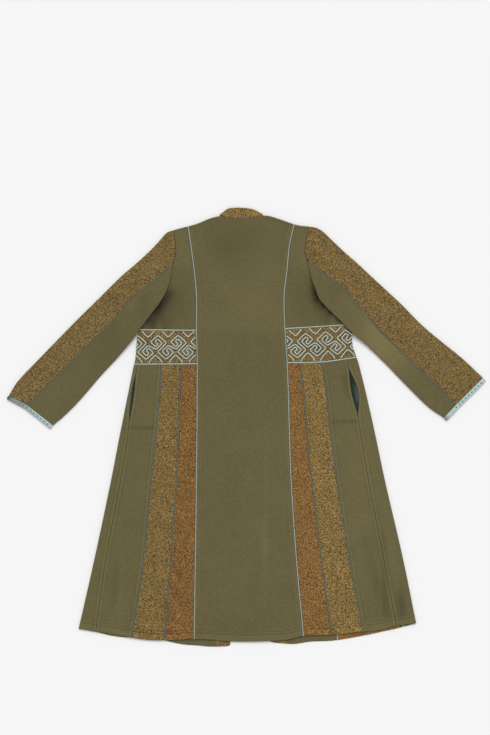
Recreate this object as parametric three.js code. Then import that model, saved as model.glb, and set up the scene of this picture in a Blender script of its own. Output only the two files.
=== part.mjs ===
// A knee-length patchwork coat of felted wool, lying face down on a flat surface.
// x runs to the right, y towards the collar and z up, in millimetres. The origin is under the coat's middle.
import * as THREE from 'three';

// Driving sizes
const cloth = 2.4; // wall of the felted wool
const layerAir = 1.4; // air between the coat's front and back, and inside a sleeve
const restGap = 0.4; // between a sleeve and the body that it lies on
const seamGap = 0.3; // between two pieces at a seam
const armholeGap = 0.8; // between a sleeve's head and the body
const collarEase = 1; // between the collar's front ends and the front panels
const braidWidth = 3; // pale cord in the princess seams and along the waist band
const braidProud = 0.9; // how far that cord stands above the cloth
const pipingWidth = 2.2; // grey cord in the skirt and sleeve seams
const pipingProud = 0.5;
const bagCloth = 1; // thin cloth of the pocket bags
const bagUnder = 2.6; // underside of a pocket bag
const collarDepth = 500; // level at which the collar hands over to the front bands

const backUnder = cloth + layerAir; // underside of the back layer
const backTop = backUnder + cloth;
const foldRadius = backTop / 2; // outer radius of each turned edge
const sleeveRise = backTop + braidProud + restGap; // lift of a sleeve where it crosses the body

const colours = {
  green: 0x6a6243,
  mustard: 0x8a7040,
  rust: 0x8b5e32,
  pale: 0xa9c4c4,
  cuff: 0xa9bdbd,
  grey: 0x5e7470,
  pocket: 0x38483f,
};

// Names the columns of a table and gives one object for each row.
function table(columns, ...rows) {
  return rows.map((row) => Object.fromEntries(columns.map((name, i) => [name, row[i]])));
}

const mix = (a, b, share) => a + (b - a) * share;
const clamp = (value, low, high) => Math.min(Math.max(value, low), high);
const smoothStep = (low, high, value) => {
  const share = clamp((value - low) / (high - low), 0, 1);
  return share * share * (3 - 2 * share);
};

// Levels at which the body's panels have their rows, so that neighbours bend at the same places.
const bodyLevels = [
  508, 490, 472, 450, 430, 395, 372, 350, 325, 300, 254, 210, 187, 165, 120, 60, -23, -137, -240, -345, -490,
];
const armholeLevels = [...bodyLevels, 412, 361, 341, 334].sort((a, b) => b - a);
const slitLevels = [...bodyLevels, 233, 143, 98, 76, 40, 20].sort((a, b) => b - a);
const leastRow = 2.5; // least height of a panel's first and last rows

const steps = (count) => Array.from({ length: count + 1 }, (unused, i) => i / count);

// Smooth line through [at, value] pairs: cubic pieces, each slope taken from the neighbouring pairs.
function lineThrough(pairs) {
  const knots = [...pairs].sort((a, b) => a[0] - b[0]);
  const last = knots.length - 1;
  const slopes = knots.map((knot, i) => {
    const before = knots[Math.max(i - 1, 0)];
    const after = knots[Math.min(i + 1, last)];
    return (after[1] - before[1]) / (after[0] - before[0]);
  });
  return (at) => {
    if (at <= knots[0][0]) return knots[0][1] + slopes[0] * (at - knots[0][0]);
    if (at >= knots[last][0]) return knots[last][1] + slopes[last] * (at - knots[last][0]);
    const i = knots.findIndex((knot) => knot[0] > at) - 1;
    const span = knots[i + 1][0] - knots[i][0];
    const s = (at - knots[i][0]) / span;
    const rise = s * s * (3 - 2 * s);
    const leave = s * (1 - s) * (1 - s) * span * slopes[i];
    const arrive = s * s * (s - 1) * span * slopes[i + 1];
    return mix(knots[i][1], knots[i + 1][1], rise) + leave + arrive;
  };
}

const column = (rows, name) => lineThrough(rows.map((row) => [row.y, row[name]]));

// Top outline of the body: shoulder, back neck seam, shoulder. Level y for each place x.
const shoulderLeft = lineThrough([
  [-191, 512], [-172, 517.5], [-152, 522.5], [-126, 530], [-95, 543], [-70, 549.5],
]);
const neckSeam = lineThrough([[-70, 549.5], [-45, 545.6], [-22, 543.3], [12, 545.1], [43, 551]]);
const shoulderRight = lineThrough([[43, 551], [61, 549], [92, 539], [124, 528], [139, 524.5], [163, 522]]);
const neckLeft = -70;
const neckRight = 43;
function topOutline(x) {
  if (x < neckLeft) return shoulderLeft(x);
  return x > neckRight ? shoulderRight(x) : neckSeam(x);
}
const collarTop = lineThrough([[-56, 565], [-45, 570.5], [-22, 571.5], [6, 570], [23, 564.5], [45, 552]]);

// Hems, level y for each place x: the back, and the two fronts that hang a little lower.
const backHem = lineThrough([
  [-437, -524], [-366, -535], [-299, -547], [-257, -553], [-213, -554], [-136, -551], [-95, -553],
  [-39, -557], [25, -557], [104, -553], [148, -543], [219, -540], [303, -532], [344, -528],
  [387, -517], [441, -510],
]);
const frontHem = lineThrough([
  [-437, -524], [-396, -532], [-343, -544], [-280, -550], [-209, -560], [-126, -568], [-91, -571],
  [-42, -569], [62, -557], [87, -560], [124, -563], [165, -558], [228, -555], [311, -541],
  [353, -532], [394, -523], [441, -510],
]);

// One entry for each side of the coat. Seam tables give x for each level y.
const sides = {
  left: {
    sign: -1,
    princess: [
      [523, -152], [478, -145], [408, -136], [344, -130], [254, -130], [165, -128], [-137, -130],
      [-550, -136],
    ],
    frontPrincess: [[523, -152], [430, -165], [340, -178], [254, -184], [165, -183], [-565, -217]],
    bandSeam: [[549, -72], [500, -73], [400, -80], [254, -85], [165, -85], [-565, -87]],
    bandEdge: [[500, -47], [400, -42], [254, -40], [165, -40], [-565, -42]],
    skirt: table(
      ['y', 'rust', 'green', 'side', 'fold', 'frontGreen', 'frontRust'],
      [165, -167, -221, -283, -292, -256, -214],
      [76, -174, -227, -298, -310, -273, -224],
      [-23, -177, -236, -309, -330, -292, -236],
      [-137, -182, -248, -327, -352, -314, -249],
      [-345, -197, -268, -366, -396, -355, -273],
      [-553, -214, -299, -395, -443, -397, -297],
    ),
    upperFold: [[326, -272], [292, -274], [254, -279], [233, -284], [186, -288]],
    armhole: [[512, -191], [461, -184], [427, -190], [396, -199], [362, -217], [341, -243], [326, -272]],
    bandTop: [[-284, 253.5], [-130, 252]],
    bandBottom: [[-291, 164], [-129, 165]],
    slit: { top: 141, bottom: 15, backLip: 4, frontLip: 3, bagReach: 5 },
    collarFold: { seam: [-73, 553], edge: [-47, 571] },
    sleeve: table(
      ['outerX', 'outerY', 'seamX', 'seamY', 'innerX', 'innerY', 'rise'],
      [-191, 512, -189, 432, -190, 424, 1],
      [-207, 506, -203, 415, -195, 405, 1],
      [-229, 482, -222, 397, -201, 378, 1],
      [-254, 456, -243, 380, -208, 353, 1],
      [-289, 424, -265, 364, -220, 331, 1],
      [-322, 396, -290, 341, -240, 303, 1],
      [-353, 366, -312, 320, -265, 270, 1],
      [-381, 338, -339, 285, -296, 228, 1],
      [-436, 284, -378, 247, -334, 183, 0.35],
      [-486, 233, -422, 205, -378, 135, 0],
      [-545, 172, -484, 139, -436, 68, 0],
      [-595, 119, -536, 90, -477, 27, 0],
      [-618, 83, -570, 58, -503, 5, 0],
    ),
    cuff: { outer: [-624, 74], seam: [-576, 49], inner: [-509, -4] },
  },
  right: {
    sign: 1,
    princess: [
      [528, 124], [475, 112], [405, 105], [344, 98], [256, 100], [165, 106], [-23, 112], [-137, 116],
      [-345, 130], [-550, 149],
    ],
    frontPrincess: [[528, 124], [430, 146], [340, 170], [254, 184], [165, 186], [-565, 238]],
    bandSeam: [[549, 46], [500, 49], [400, 66], [254, 90], [165, 96], [-565, 107]],
    bandEdge: [[500, 22], [400, 30], [254, 46], [165, 51], [-565, 62]],
    skirt: table(
      ['y', 'rust', 'green', 'side', 'fold', 'frontGreen', 'frontRust'],
      [165, 141, 197, 264, 292, 256, 220],
      [76, 150, 209, 282, 314, 276, 232],
      [-23, 158, 220, 298, 336, 298, 245],
      [-137, 169, 235, 317, 360, 324, 261],
      [-345, 195, 268, 357, 408, 371, 290],
      [-553, 223, 308, 397, 450, 417, 318],
    ),
    upperFold: [[331, 252], [292, 259], [266, 267], [245, 274], [213, 276], [183, 286]],
    armhole: [[522, 163], [469, 153], [450, 153], [432, 158], [404, 168], [367, 186], [346, 215], [331, 252]],
    bandTop: [[100, 256.5], [257, 266]],
    bandBottom: [[106, 168], [198, 170], [286, 182]],
    slit: { top: 150, bottom: 30, backLip: 8, frontLip: 11, bagReach: 16 },
    collarFold: { seam: [47, 554.5], edge: [20, 567.5] },
    sleeve: table(
      ['outerX', 'outerY', 'seamX', 'seamY', 'innerX', 'innerY', 'rise'],
      [163, 522, 158, 437, 158, 431, 1],
      [181, 519, 169, 424, 163, 414, 1],
      [200, 508, 187, 410, 171, 387, 1],
      [226, 483, 208, 394, 179, 358, 1],
      [257, 454, 229, 381, 189, 333, 1],
      [288, 427, 251, 360, 212, 307, 1],
      [322, 395, 275, 334, 239, 281, 1],
      [360, 360, 302, 304, 271, 248, 1],
      [404, 319, 342, 255, 313, 213, 0.5],
      [454, 268, 391, 207, 363, 164, 0],
      [507, 223, 443, 157, 415, 110, 0],
      [559, 181, 498, 109, 472, 54, 0],
      [615, 129, 545, 59, 513, 25, 0],
    ),
    cuff: { outer: [623.5, 121], seam: [553, 51], inner: [521, 17] },
  },
};

for (const side of Object.values(sides)) {
  const skirtFold = side.skirt.map((row) => [row.y, row.fold]);
  side.fold = lineThrough([...side.upperFold, ...skirtFold]);
  side.armholeLine = lineThrough(side.armhole);
  side.underarm = side.armhole[side.armhole.length - 1][0];
  for (const name of ['princess', 'frontPrincess', 'bandSeam', 'bandEdge', 'bandTop', 'bandBottom']) {
    side[name] = lineThrough(side[name]);
  }
  for (const name of ['rust', 'green', 'side', 'frontGreen', 'frontRust']) {
    side[name] = column(side.skirt, name);
  }
}

// The body's outer edge x at level y: the armhole, and the turned side below it.
const bodyEdge = (side) => (y) => (y > side.underarm ? side.armholeLine(y) : side.fold(y));

// Soft ridges and hollows of the back layer, each along a straight line that fades at both ends.
const creases = table(
  ['fromX', 'fromY', 'toX', 'toY', 'halfWidth', 'height'],
  [-118, 251, 90, 252, 16, 1.1],
  [-8, 525, -3, 425, 24, -0.9],
  [44, -270, 58, -440, 22, 1.6],
  [-40, -60, -52, -330, 34, 0.9],
  [322, -230, 366, -505, 18, 2.6],
  [286, -330, 322, -525, 15, 1.9],
  [-318, -280, -362, -520, 18, 1.9],
  [-292, -10, -306, -130, 16, 1.4],
  [300, 20, 330, -120, 18, 1.8],
  [-190, -260, -206, -540, 18, 1.2],
  [212, -300, 228, -530, 20, 1.4],
);

// Height of a crease at a place: a bell across its line, faded towards the ends.
const creaseEnd = 0.15; // share of its length by which a crease runs on past each end
const creaseFull = 0.3; // share of its length from each end at which it reaches its full height
function creaseHeight(crease, x, y) {
  const alongX = crease.toX - crease.fromX;
  const alongY = crease.toY - crease.fromY;
  const length = Math.hypot(alongX, alongY);
  const along = ((x - crease.fromX) * alongX + (y - crease.fromY) * alongY) / (length * length);
  const across = ((x - crease.fromX) * alongY - (y - crease.fromY) * alongX) / length;
  const fade = smoothStep(-creaseEnd, creaseFull, along) * smoothStep(-creaseEnd, creaseFull, 1 - along);
  return crease.height * fade * Math.exp(-((across / crease.halfWidth) ** 2));
}

// Relief of the back layer. It dies away towards the turned sides.
const reliefFade = 24; // width over which it dies away
function relief(x, y) {
  const side = x < 0 ? sides.left : sides.right;
  const inside = Math.abs(side.fold(y)) - foldRadius - Math.abs(x);
  const fade = smoothStep(0, reliefFade, inside);
  return fade * creases.reduce((sum, crease) => sum + creaseHeight(crease, x, y), 0);
}

// Closed wall between two facing grids of points. A ring's last column joins its first.
function wallBetween(outer, inner, ring = false) {
  const rows = outer.length;
  const columns = outer[0].length;
  const positions = [...outer, ...inner].flat(2);
  const at = (layer, row, col) => (layer * rows + row) * columns + (col % columns);
  const faces = [];
  const quad = (a, b, c, d) => faces.push(a, b, c, a, c, d);
  const lastColumn = ring ? columns : columns - 1;
  for (let r = 0; r < rows - 1; r += 1) {
    for (let c = 0; c < lastColumn; c += 1) {
      quad(at(0, r, c), at(0, r, c + 1), at(0, r + 1, c + 1), at(0, r + 1, c));
      const [p, q, s, t] = [at(1, r, c), at(1, r, c + 1), at(1, r + 1, c + 1), at(1, r + 1, c)];
      faces.push(p, s, q, p, t, s);
    }
    if (!ring) {
      const end = columns - 1;
      quad(at(0, r, 0), at(0, r + 1, 0), at(1, r + 1, 0), at(1, r, 0));
      quad(at(0, r + 1, end), at(0, r, end), at(1, r, end), at(1, r + 1, end));
    }
  }
  for (let c = 0; c < lastColumn; c += 1) {
    quad(at(0, 0, c + 1), at(0, 0, c), at(1, 0, c), at(1, 0, c + 1));
    quad(at(0, rows - 1, c), at(0, rows - 1, c + 1), at(1, rows - 1, c + 1), at(1, rows - 1, c));
  }
  if (signedVolume(positions, faces) < 0) faces.reverse();
  const geometry = new THREE.BufferGeometry();
  geometry.setAttribute('position', new THREE.Float32BufferAttribute(positions, 3));
  geometry.setIndex(faces);
  geometry.computeVertexNormals();
  return geometry;
}

// Volume inside a closed surface; negative where its faces point inwards.
function signedVolume(positions, faces) {
  const corner = (i) => new THREE.Vector3().fromArray(positions, faces[i] * 3);
  let volume = 0;
  for (let i = 0; i < faces.length; i += 3) {
    volume += corner(i).dot(corner(i + 1).cross(corner(i + 2))) / 6;
  }
  return volume;
}

const settleRounds = 14; // rounds in which a point settles between its seams and its ends

// Point of a panel: share v from its top line to its bottom line, on the seam place x(y).
function settle(placeX, top, bottom, v) {
  let x = placeX(0);
  let y = 0;
  for (let round = 0; round < settleRounds; round += 1) {
    y = mix(top(x), bottom(x), v);
    x = placeX(y);
  }
  return [x, y];
}

// Rows of a panel whose columns are places x(y): its top line, the levels in between and its bottom line.
function panelRows(places, levels) {
  const first = places.map(({ place, top, bottom }) => settle(place, top, bottom, 0));
  const last = places.map(({ place, top, bottom }) => settle(place, top, bottom, 1));
  const highest = Math.min(...first.map((point) => point[1])) - leastRow;
  const lowest = Math.max(...last.map((point) => point[1])) + leastRow;
  const between = levels.filter((y) => y < highest && y > lowest);
  return [first, ...between.map((y) => places.map(({ place }) => [place(y), y])), last];
}

// Panel of one layer between two seams, from a top line to a bottom line.
function flatPanel({ from, to, top, bottom, across, levels, under, wall = cloth }) {
  const places = across.map((u) => ({ place: (y) => mix(from(y), to(y), u), top, bottom }));
  const rows = panelRows(places, levels);
  const upper = rows.map((row) => row.map(([x, y]) => [x, y, under(x, y) + wall]));
  const lower = rows.map((row) => row.map(([x, y]) => [x, y, under(x, y)]));
  return wallBetween(upper, lower);
}

const onFront = () => 0;
const onBack = (x, y) => backUnder + relief(x, y);

// Panel that turns round the body's side: a run on the back, a half-round fold and a run on the front.
function sidePanel(plan) {
  const { side, backSeam, frontSeam, top, bottom, frontBottom = bottom, runs, levels, proud = 0 } = plan;
  const centre = (y) => side.fold(y) - side.sign * foldRadius;
  const stations = [
    ...steps(runs.back).map((u) => ({ seam: backSeam, u, turn: 0, bottom })),
    ...steps(runs.fold).slice(1, -1).map((u) => ({ seam: centre, u: 1, turn: u * Math.PI, bottom })),
    ...steps(runs.front).map((u) => ({ seam: frontSeam, u: 1 - u, turn: Math.PI, bottom: frontBottom })),
  ];
  const places = stations.map(({ seam, u, bottom: end }) => (
    { place: (y) => mix(seam(y), centre(y), u), top, bottom: end }));
  const inside = foldRadius - cloth;
  const outer = [];
  const inner = [];
  for (const row of panelRows(places, levels)) {
    const turned = (radius) => row.map(([x, y], i) => {
      const { turn } = stations[i];
      const lift = turn === 0 ? relief(x, y) : 0;
      const reach = side.sign * radius(turn) * Math.sin(turn);
      return [x + reach, y, foldRadius + radius(turn) * Math.cos(turn) + lift];
    });
    outer.push(turned((turn) => foldRadius + proud * (1 + Math.cos(turn)) * 0.5));
    inner.push(turned(() => inside));
  }
  return wallBetween(outer, inner);
}

const coat = new THREE.Group();
function addPiece(name, colour, geometry) {
  const material = new THREE.MeshStandardMaterial({ color: colours[colour], roughness: 0.95, metalness: 0 });
  const mesh = new THREE.Mesh(geometry, material);
  mesh.name = name;
  coat.add(mesh);
}

const beside = (line, offset) => (at) => line(at) + offset;
const braidHalf = braidWidth / 2;
const pipingHalf = pipingWidth / 2;
const pastBraid = braidHalf + seamGap;
const pastPiping = pipingHalf + seamGap;
const halfGap = seamGap / 2;
const flat = (level) => () => level;

// How far one lip of the pocket slit stands away from the side seam: a lens between the slit's ends.
function lipGap(side, reach, y) {
  const share = clamp((side.slit.top - y) / (side.slit.top - side.slit.bottom), 0, 1);
  return halfGap + reach * Math.sin(share * Math.PI) ** 2;
}

const neckSteps = 4; // facets of the back neck seam
const neckLevel = 540; // level at which the back centre's columns are shared out

function addBackCentre() {
  const { left, right } = sides;
  const width = right.princess(neckLevel) - left.princess(neckLevel);
  const neckShare = (x) => (x - left.princess(neckLevel)) / width;
  const [a, b] = [neckShare(neckLeft), neckShare(neckRight)];
  const across = [0, a / 2, ...steps(neckSteps).map((u) => mix(a, b, u)), mix(b, 1, 0.5), 1];
  addPiece('back_centre', 'green', flatPanel({
    from: beside(left.princess, pastBraid),
    to: beside(right.princess, -pastBraid),
    top: topOutline,
    bottom: backHem,
    across,
    levels: bodyLevels,
    under: onBack,
  }));
}

function addUpperSide(name, side) {
  const outward = side.sign;
  const edge = bodyEdge(side);
  const bottom = beside(side.bandTop, pastBraid);
  const upperSteps = 3; // facets across the panel
  addPiece(`back_side_upper_${name}`, 'green', flatPanel({
    from: beside(side.princess, outward * pastBraid),
    to: edge,
    top: topOutline,
    bottom,
    across: steps(upperSteps),
    levels: armholeLevels,
    under: flat(backUnder),
  }));
  addPiece(`front_side_upper_${name}`, 'green', flatPanel({
    from: beside(side.frontPrincess, outward * pastBraid),
    to: edge,
    top: topOutline,
    bottom,
    across: [0, 1],
    levels: armholeLevels,
    under: onFront,
  }));
}

function addWaistBand(name, side) {
  const outward = side.sign;
  const backSeam = beside(side.princess, outward * pastBraid);
  const frontSeam = beside(side.frontPrincess, outward * pastBraid);
  addPiece(`waist_band_${name}`, 'mustard', sidePanel({
    side,
    backSeam,
    frontSeam,
    top: beside(side.bandTop, -pastBraid),
    bottom: beside(side.bandBottom, pastBraid),
    runs: { back: 5, fold: 4, front: 1 },
    levels: slitLevels,
  }));
  for (const [place, line] of [['upper', side.bandTop], ['lower', side.bandBottom]]) {
    addPiece(`waist_cord_${place}_${name}`, 'pale', sidePanel({
      side,
      backSeam,
      frontSeam,
      top: beside(line, braidHalf),
      bottom: beside(line, -braidHalf),
      runs: { back: 5, fold: 4, front: 1 },
      levels: [],
      proud: braidProud,
    }));
  }
}

// Straight strip of the skirt between two seams, each with its own clearance.
function addStrip(name, colour, from, to, layer) {
  addPiece(name, colour, flatPanel({
    from,
    to,
    top: layer.top,
    bottom: layer.hem,
    across: layer.across,
    levels: layer.levels,
    under: layer.under,
  }));
}

function addSkirt(name, side) {
  const outward = side.sign;
  const top = beside(side.bandBottom, -pastBraid);
  const back = { top, hem: backHem, under: onBack, levels: bodyLevels, across: steps(2) };
  const front = { top, hem: frontHem, under: onFront, levels: bodyLevels, across: [0, 1] };
  const away = (line, gap) => beside(line, outward * gap);
  const sideSteps = 3; // facets across the back side panel
  const backRust = [away(side.princess, pastBraid), away(side.rust, -pastPiping)];
  const backMustard = [away(side.rust, pastPiping), away(side.green, -pastPiping)];
  const frontRust = [away(side.frontPrincess, pastBraid), away(side.frontRust, -pastPiping)];
  const frontMustard = [away(side.frontRust, pastPiping), away(side.frontGreen, -pastPiping)];
  addStrip(`back_rust_strip_${name}`, 'rust', ...backRust, back);
  addStrip(`back_mustard_strip_${name}`, 'mustard', ...backMustard, back);
  addStrip(`front_rust_strip_${name}`, 'rust', ...frontRust, front);
  addStrip(`front_mustard_strip_${name}`, 'mustard', ...frontMustard, front);
  addPiece(`back_side_skirt_${name}`, 'green', flatPanel({
    from: away(side.green, pastPiping),
    to: (y) => side.side(y) - outward * lipGap(side, side.slit.backLip, y),
    top,
    bottom: backHem,
    across: steps(sideSteps),
    levels: slitLevels,
    under: onBack,
  }));
  addPiece(`front_side_skirt_${name}`, 'green', sidePanel({
    side,
    backSeam: (y) => side.side(y) + outward * lipGap(side, side.slit.frontLip, y),
    frontSeam: away(side.frontGreen, pastPiping),
    top,
    bottom: backHem,
    frontBottom: frontHem,
    runs: { back: 2, fold: 4, front: 1 },
    levels: slitLevels,
  }));
}

function addPocketBag(name, side) {
  const { top, bottom, bagReach } = side.slit;
  const bagDepth = 66; // how far the bag reaches in from the side seam
  const bagOver = 8; // how far it reaches past the slit's ends
  addPiece(`pocket_bag_${name}`, 'pocket', flatPanel({
    from: beside(side.side, -side.sign * bagDepth),
    to: beside(side.side, side.sign * bagReach),
    top: flat(top + bagOver),
    bottom: flat(bottom - bagOver),
    across: steps(2),
    levels: slitLevels,
    under: flat(bagUnder),
    wall: bagCloth,
  }));
}

// Cord that fills a seam and stands a little above the cloth on both sides of it.
function addSeamCord(name, colour, seam, width, ends) {
  addPiece(name, colour, flatPanel({
    from: beside(seam, -width / 2),
    to: beside(seam, width / 2),
    top: ends.top,
    bottom: ends.bottom,
    across: [0, 1],
    levels: ends.levels,
    under: ends.under,
    wall: cloth + ends.proud,
  }));
}

function addSeamCords(name, side) {
  const skirtTop = beside(side.bandBottom, -pastBraid);
  const back = { bottom: backHem, under: onBack, levels: bodyLevels };
  const front = { bottom: frontHem, under: onFront, levels: bodyLevels };
  const onBackBraid = { ...back, top: topOutline, proud: braidProud };
  const onFrontBraid = { ...front, top: topOutline, proud: 0 };
  const onBackPiping = { ...back, top: skirtTop, proud: pipingProud };
  const onFrontPiping = { ...front, top: skirtTop, proud: 0 };
  addSeamCord(`back_princess_braid_${name}`, 'pale', side.princess, braidWidth, onBackBraid);
  addSeamCord(`front_princess_braid_${name}`, 'pale', side.frontPrincess, braidWidth, onFrontBraid);
  addSeamCord(`back_piping_rust_${name}`, 'grey', side.rust, pipingWidth, onBackPiping);
  addSeamCord(`back_piping_green_${name}`, 'grey', side.green, pipingWidth, onBackPiping);
  addSeamCord(`front_piping_rust_${name}`, 'grey', side.frontRust, pipingWidth, onFrontPiping);
  addSeamCord(`front_piping_green_${name}`, 'grey', side.frontGreen, pipingWidth, onFrontPiping);
}

function addFront(name, side) {
  const outward = side.sign;
  addPiece(`front_panel_${name}`, 'green', flatPanel({
    from: beside(side.bandSeam, outward * halfGap),
    to: beside(side.frontPrincess, -outward * pastBraid),
    top: topOutline,
    bottom: frontHem,
    across: [0, 1],
    levels: bodyLevels,
    under: onFront,
  }));
  addPiece(`front_band_${name}`, 'mustard', flatPanel({
    from: side.bandEdge,
    to: beside(side.bandSeam, -outward * halfGap),
    top: flat(collarDepth - seamGap),
    bottom: frontHem,
    across: [0, 1],
    levels: bodyLevels,
    under: onFront,
  }));
}

// The collar is one strip: up the left front, turned at the neck, along the back neck, and down the right.
function addCollar() {
  const heights = steps(2); // shares from the neck seam to the collar's edge
  const foldSteps = 4; // facets of each turned end
  const frontSteps = 3; // facets of each front run
  const outer = heights.map(() => []);
  const inner = heights.map(() => []);
  const put = (row, x, y, out, inside, turn, reach) => {
    outer[row].push([x + reach[0] * out * Math.sin(turn), y + reach[1] * out * Math.sin(turn),
      foldRadius + out * Math.cos(turn)]);
    inner[row].push([x + reach[0] * inside * Math.sin(turn), y + reach[1] * inside * Math.sin(turn),
      foldRadius + inside * Math.cos(turn)]);
  };
  const inside = foldRadius - cloth;
  const turned = (side, s) => {
    const { seam, edge } = side.collarFold;
    const length = Math.hypot(edge[0] - seam[0], edge[1] - seam[1]);
    const reach = [side.sign * (edge[1] - seam[1]) / length, -side.sign * (edge[0] - seam[0]) / length];
    const x = mix(seam[0], edge[0], s) - reach[0] * foldRadius;
    const y = mix(seam[1], edge[1], s) - reach[1] * foldRadius;
    return { x, y, reach };
  };
  heights.forEach((s, row) => {
    const frontRun = (side) => {
      const start = turned(side, s);
      const end = mix(side.bandSeam(collarDepth) - side.sign * collarEase, side.bandEdge(collarDepth), s);
      return steps(frontSteps).map((u) => [mix(start.x, end, u), mix(start.y, collarDepth, u)]);
    };
    const foldRun = (side) => {
      const { x, y, reach } = turned(side, s);
      return steps(foldSteps).slice(1, -1).map((u) => [x, y, Math.PI * u, reach]);
    };
    const left = turned(sides.left, s);
    const right = turned(sides.right, s);
    const putFront = (side, order) => {
      for (const [x, y] of order(frontRun(side))) put(row, x, y, foldRadius, inside, Math.PI, [0, 0]);
    };
    const putFold = (side, order) => {
      for (const [x, y, turn, reach] of order(foldRun(side))) put(row, x, y, foldRadius, inside, turn, reach);
    };
    const onward = (run) => run;
    const backward = (run) => run.reverse();
    putFront(sides.left, backward);
    putFold(sides.left, backward);
    for (const u of steps(neckSteps)) {
      const x = mix(left.x, right.x, u);
      const straight = mix(left.y, right.y, u);
      const shaped = mix(neckSeam(x) + armholeGap, collarTop(x), s);
      const y = u === 0 || u === 1 ? straight : shaped;
      put(row, x, y, foldRadius, inside, 0, [0, 0]);
    }
    putFold(sides.right, onward);
    putFront(sides.right, onward);
  });
  addPiece('collar', 'mustard', wallBetween(outer, inner));
}

// A sleeve's cross row as three places: its outer edge, the seam between its two pieces and its inner edge.
function crossRow(side, index) {
  const row = side.sleeve[index];
  if (!row) return side.cuff;
  return { outer: [row.outerX, row.outerY], seam: [row.seamX, row.seamY], inner: [row.innerX, row.innerY] };
}

const overSteps = 4; // facets across one layer of an over sleeve
const underSteps = 2; // the same for an under sleeve
const edgeTurns = [0.25, 0.5, 0.75]; // shares of the half turn round a sleeve's edge
const mostClear = 0.3; // largest share of a layer that its seam's clearance may take

// Places of one layer of a sleeve piece in a cross row, from the seam out to where the turned edge starts.
function sleeveRun(side, index, piece, clear = pastPiping) {
  const row = crossRow(side, index);
  const end = piece === 'over' ? row.outer : row.inner;
  const length = Math.hypot(end[0] - row.seam[0], end[1] - row.seam[1]);
  const count = piece === 'over' ? overSteps : underSteps;
  const start = Math.min(clear, mostClear * length);
  return steps(count).map((u) => {
    const share = mix(start, length - foldRadius, u) / length;
    const y = mix(row.seam[1], end[1], share);
    const x = index === 0 ? side.armholeLine(y) + side.sign * armholeGap : mix(row.seam[0], end[0], share);
    return [x, y];
  });
}

// Lift of a sleeve's underside at a place of a cross row: nothing at its outer edge, full over the body.
const riseStart = 0.15; // share of the sleeve's width at which the lift starts
const riseEnd = 0.55; // share at which it is full
function sleeveLift(side, index, x, y) {
  const row = crossRow(side, index);
  const span = [row.inner[0] - row.outer[0], row.inner[1] - row.outer[1]];
  const length = span[0] ** 2 + span[1] ** 2;
  const share = ((x - row.outer[0]) * span[0] + (y - row.outer[1]) * span[1]) / length;
  const rise = side.sleeve[index] ? side.sleeve[index].rise : 0;
  return rise * sleeveRise * smoothStep(riseStart, riseEnd, share);
}

// One cross row of a sleeve piece: along the top layer, round the turned edge and back along the lower layer.
function sleeveSection(side, index, piece) {
  const row = crossRow(side, index);
  const end = piece === 'over' ? row.outer : row.inner;
  const top = sleeveRun(side, index, piece);
  const lower = sleeveRun(side, index, piece, halfGap);
  const centre = top.at(-1);
  const length = Math.hypot(end[0] - centre[0], end[1] - centre[1]);
  const reach = [(end[0] - centre[0]) / length, (end[1] - centre[1]) / length];
  const inside = foldRadius - cloth;
  const outer = [];
  const inner = [];
  const put = ([x, y], turn) => {
    const base = foldRadius + sleeveLift(side, index, x, y);
    const sine = Math.sin(turn);
    const cosine = Math.cos(turn);
    const at = (radius) => [
      x + reach[0] * radius * sine, y + reach[1] * radius * sine, base + radius * cosine,
    ];
    outer.push(at(foldRadius));
    inner.push(at(inside));
  };
  top.forEach((place) => put(place, 0));
  edgeTurns.forEach((u) => put(centre, u * Math.PI));
  [...lower].reverse().forEach((place) => put(place, Math.PI));
  return { outer, inner };
}

function addSleeve(name, side) {
  for (const [piece, colour] of [['over', 'mustard'], ['under', 'green']]) {
    const sections = side.sleeve.map((row, index) => sleeveSection(side, index, piece));
    addPiece(`${piece}_sleeve_${name}`, colour, wallBetween(
      sections.map((section) => section.outer),
      sections.map((section) => section.inner),
    ));
  }
  // The piping lies in the sleeve's upper seam, from the first free row to the cuff.
  const seamHalf = 0.7 * pipingHalf; // half the cord's width across the slanting seam
  const upper = [];
  const lower = [];
  for (let index = 1; index < side.sleeve.length; index += 1) {
    const { seam, inner, outer } = crossRow(side, index);
    const length = Math.hypot(outer[0] - inner[0], outer[1] - inner[1]);
    const step = [(outer[0] - inner[0]) / length, (outer[1] - inner[1]) / length];
    const edge = (reach) => [seam[0] + step[0] * reach, seam[1] + step[1] * reach];
    const base = backUnder + sleeveLift(side, index, ...seam);
    const pair = [edge(-seamHalf), edge(seamHalf)];
    upper.push(pair.map(([x, y]) => [x, y, base + cloth + pipingProud]));
    lower.push(pair.map(([x, y]) => [x, y, base]));
  }
  addPiece(`sleeve_piping_${name}`, 'grey', wallBetween(upper, lower));
}

// The cuff's binding is a flat ring that closes the sleeve's end.
function addCuffBinding(name, side) {
  const last = side.sleeve.length - 1;
  const outer = [];
  const inner = [];
  const { outerX, outerY } = side.sleeve[last];
  const span = Math.hypot(side.cuff.outer[0] - outerX, side.cuff.outer[1] - outerY);
  for (const share of [seamGap / span, 1]) {
    const sections = [last, last + 1].map((index) => ['over', 'under'].map((piece) => {
      const { outer: out, inner: inn } = sleeveSection(side, index, piece);
      return piece === 'over' ? { out, inn } : { out: [...out].reverse(), inn: [...inn].reverse() };
    }));
    const blend = (key) => sections[0].flatMap((part, i) => part[key].map((point, j) => (
      point.map((value, k) => mix(value, sections[1][i][key][j][k], share)))));
    outer.push(blend('out'));
    inner.push(blend('inn'));
  }
  addPiece(`cuff_binding_${name}`, 'cuff', wallBetween(outer, inner, true));
}

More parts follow.
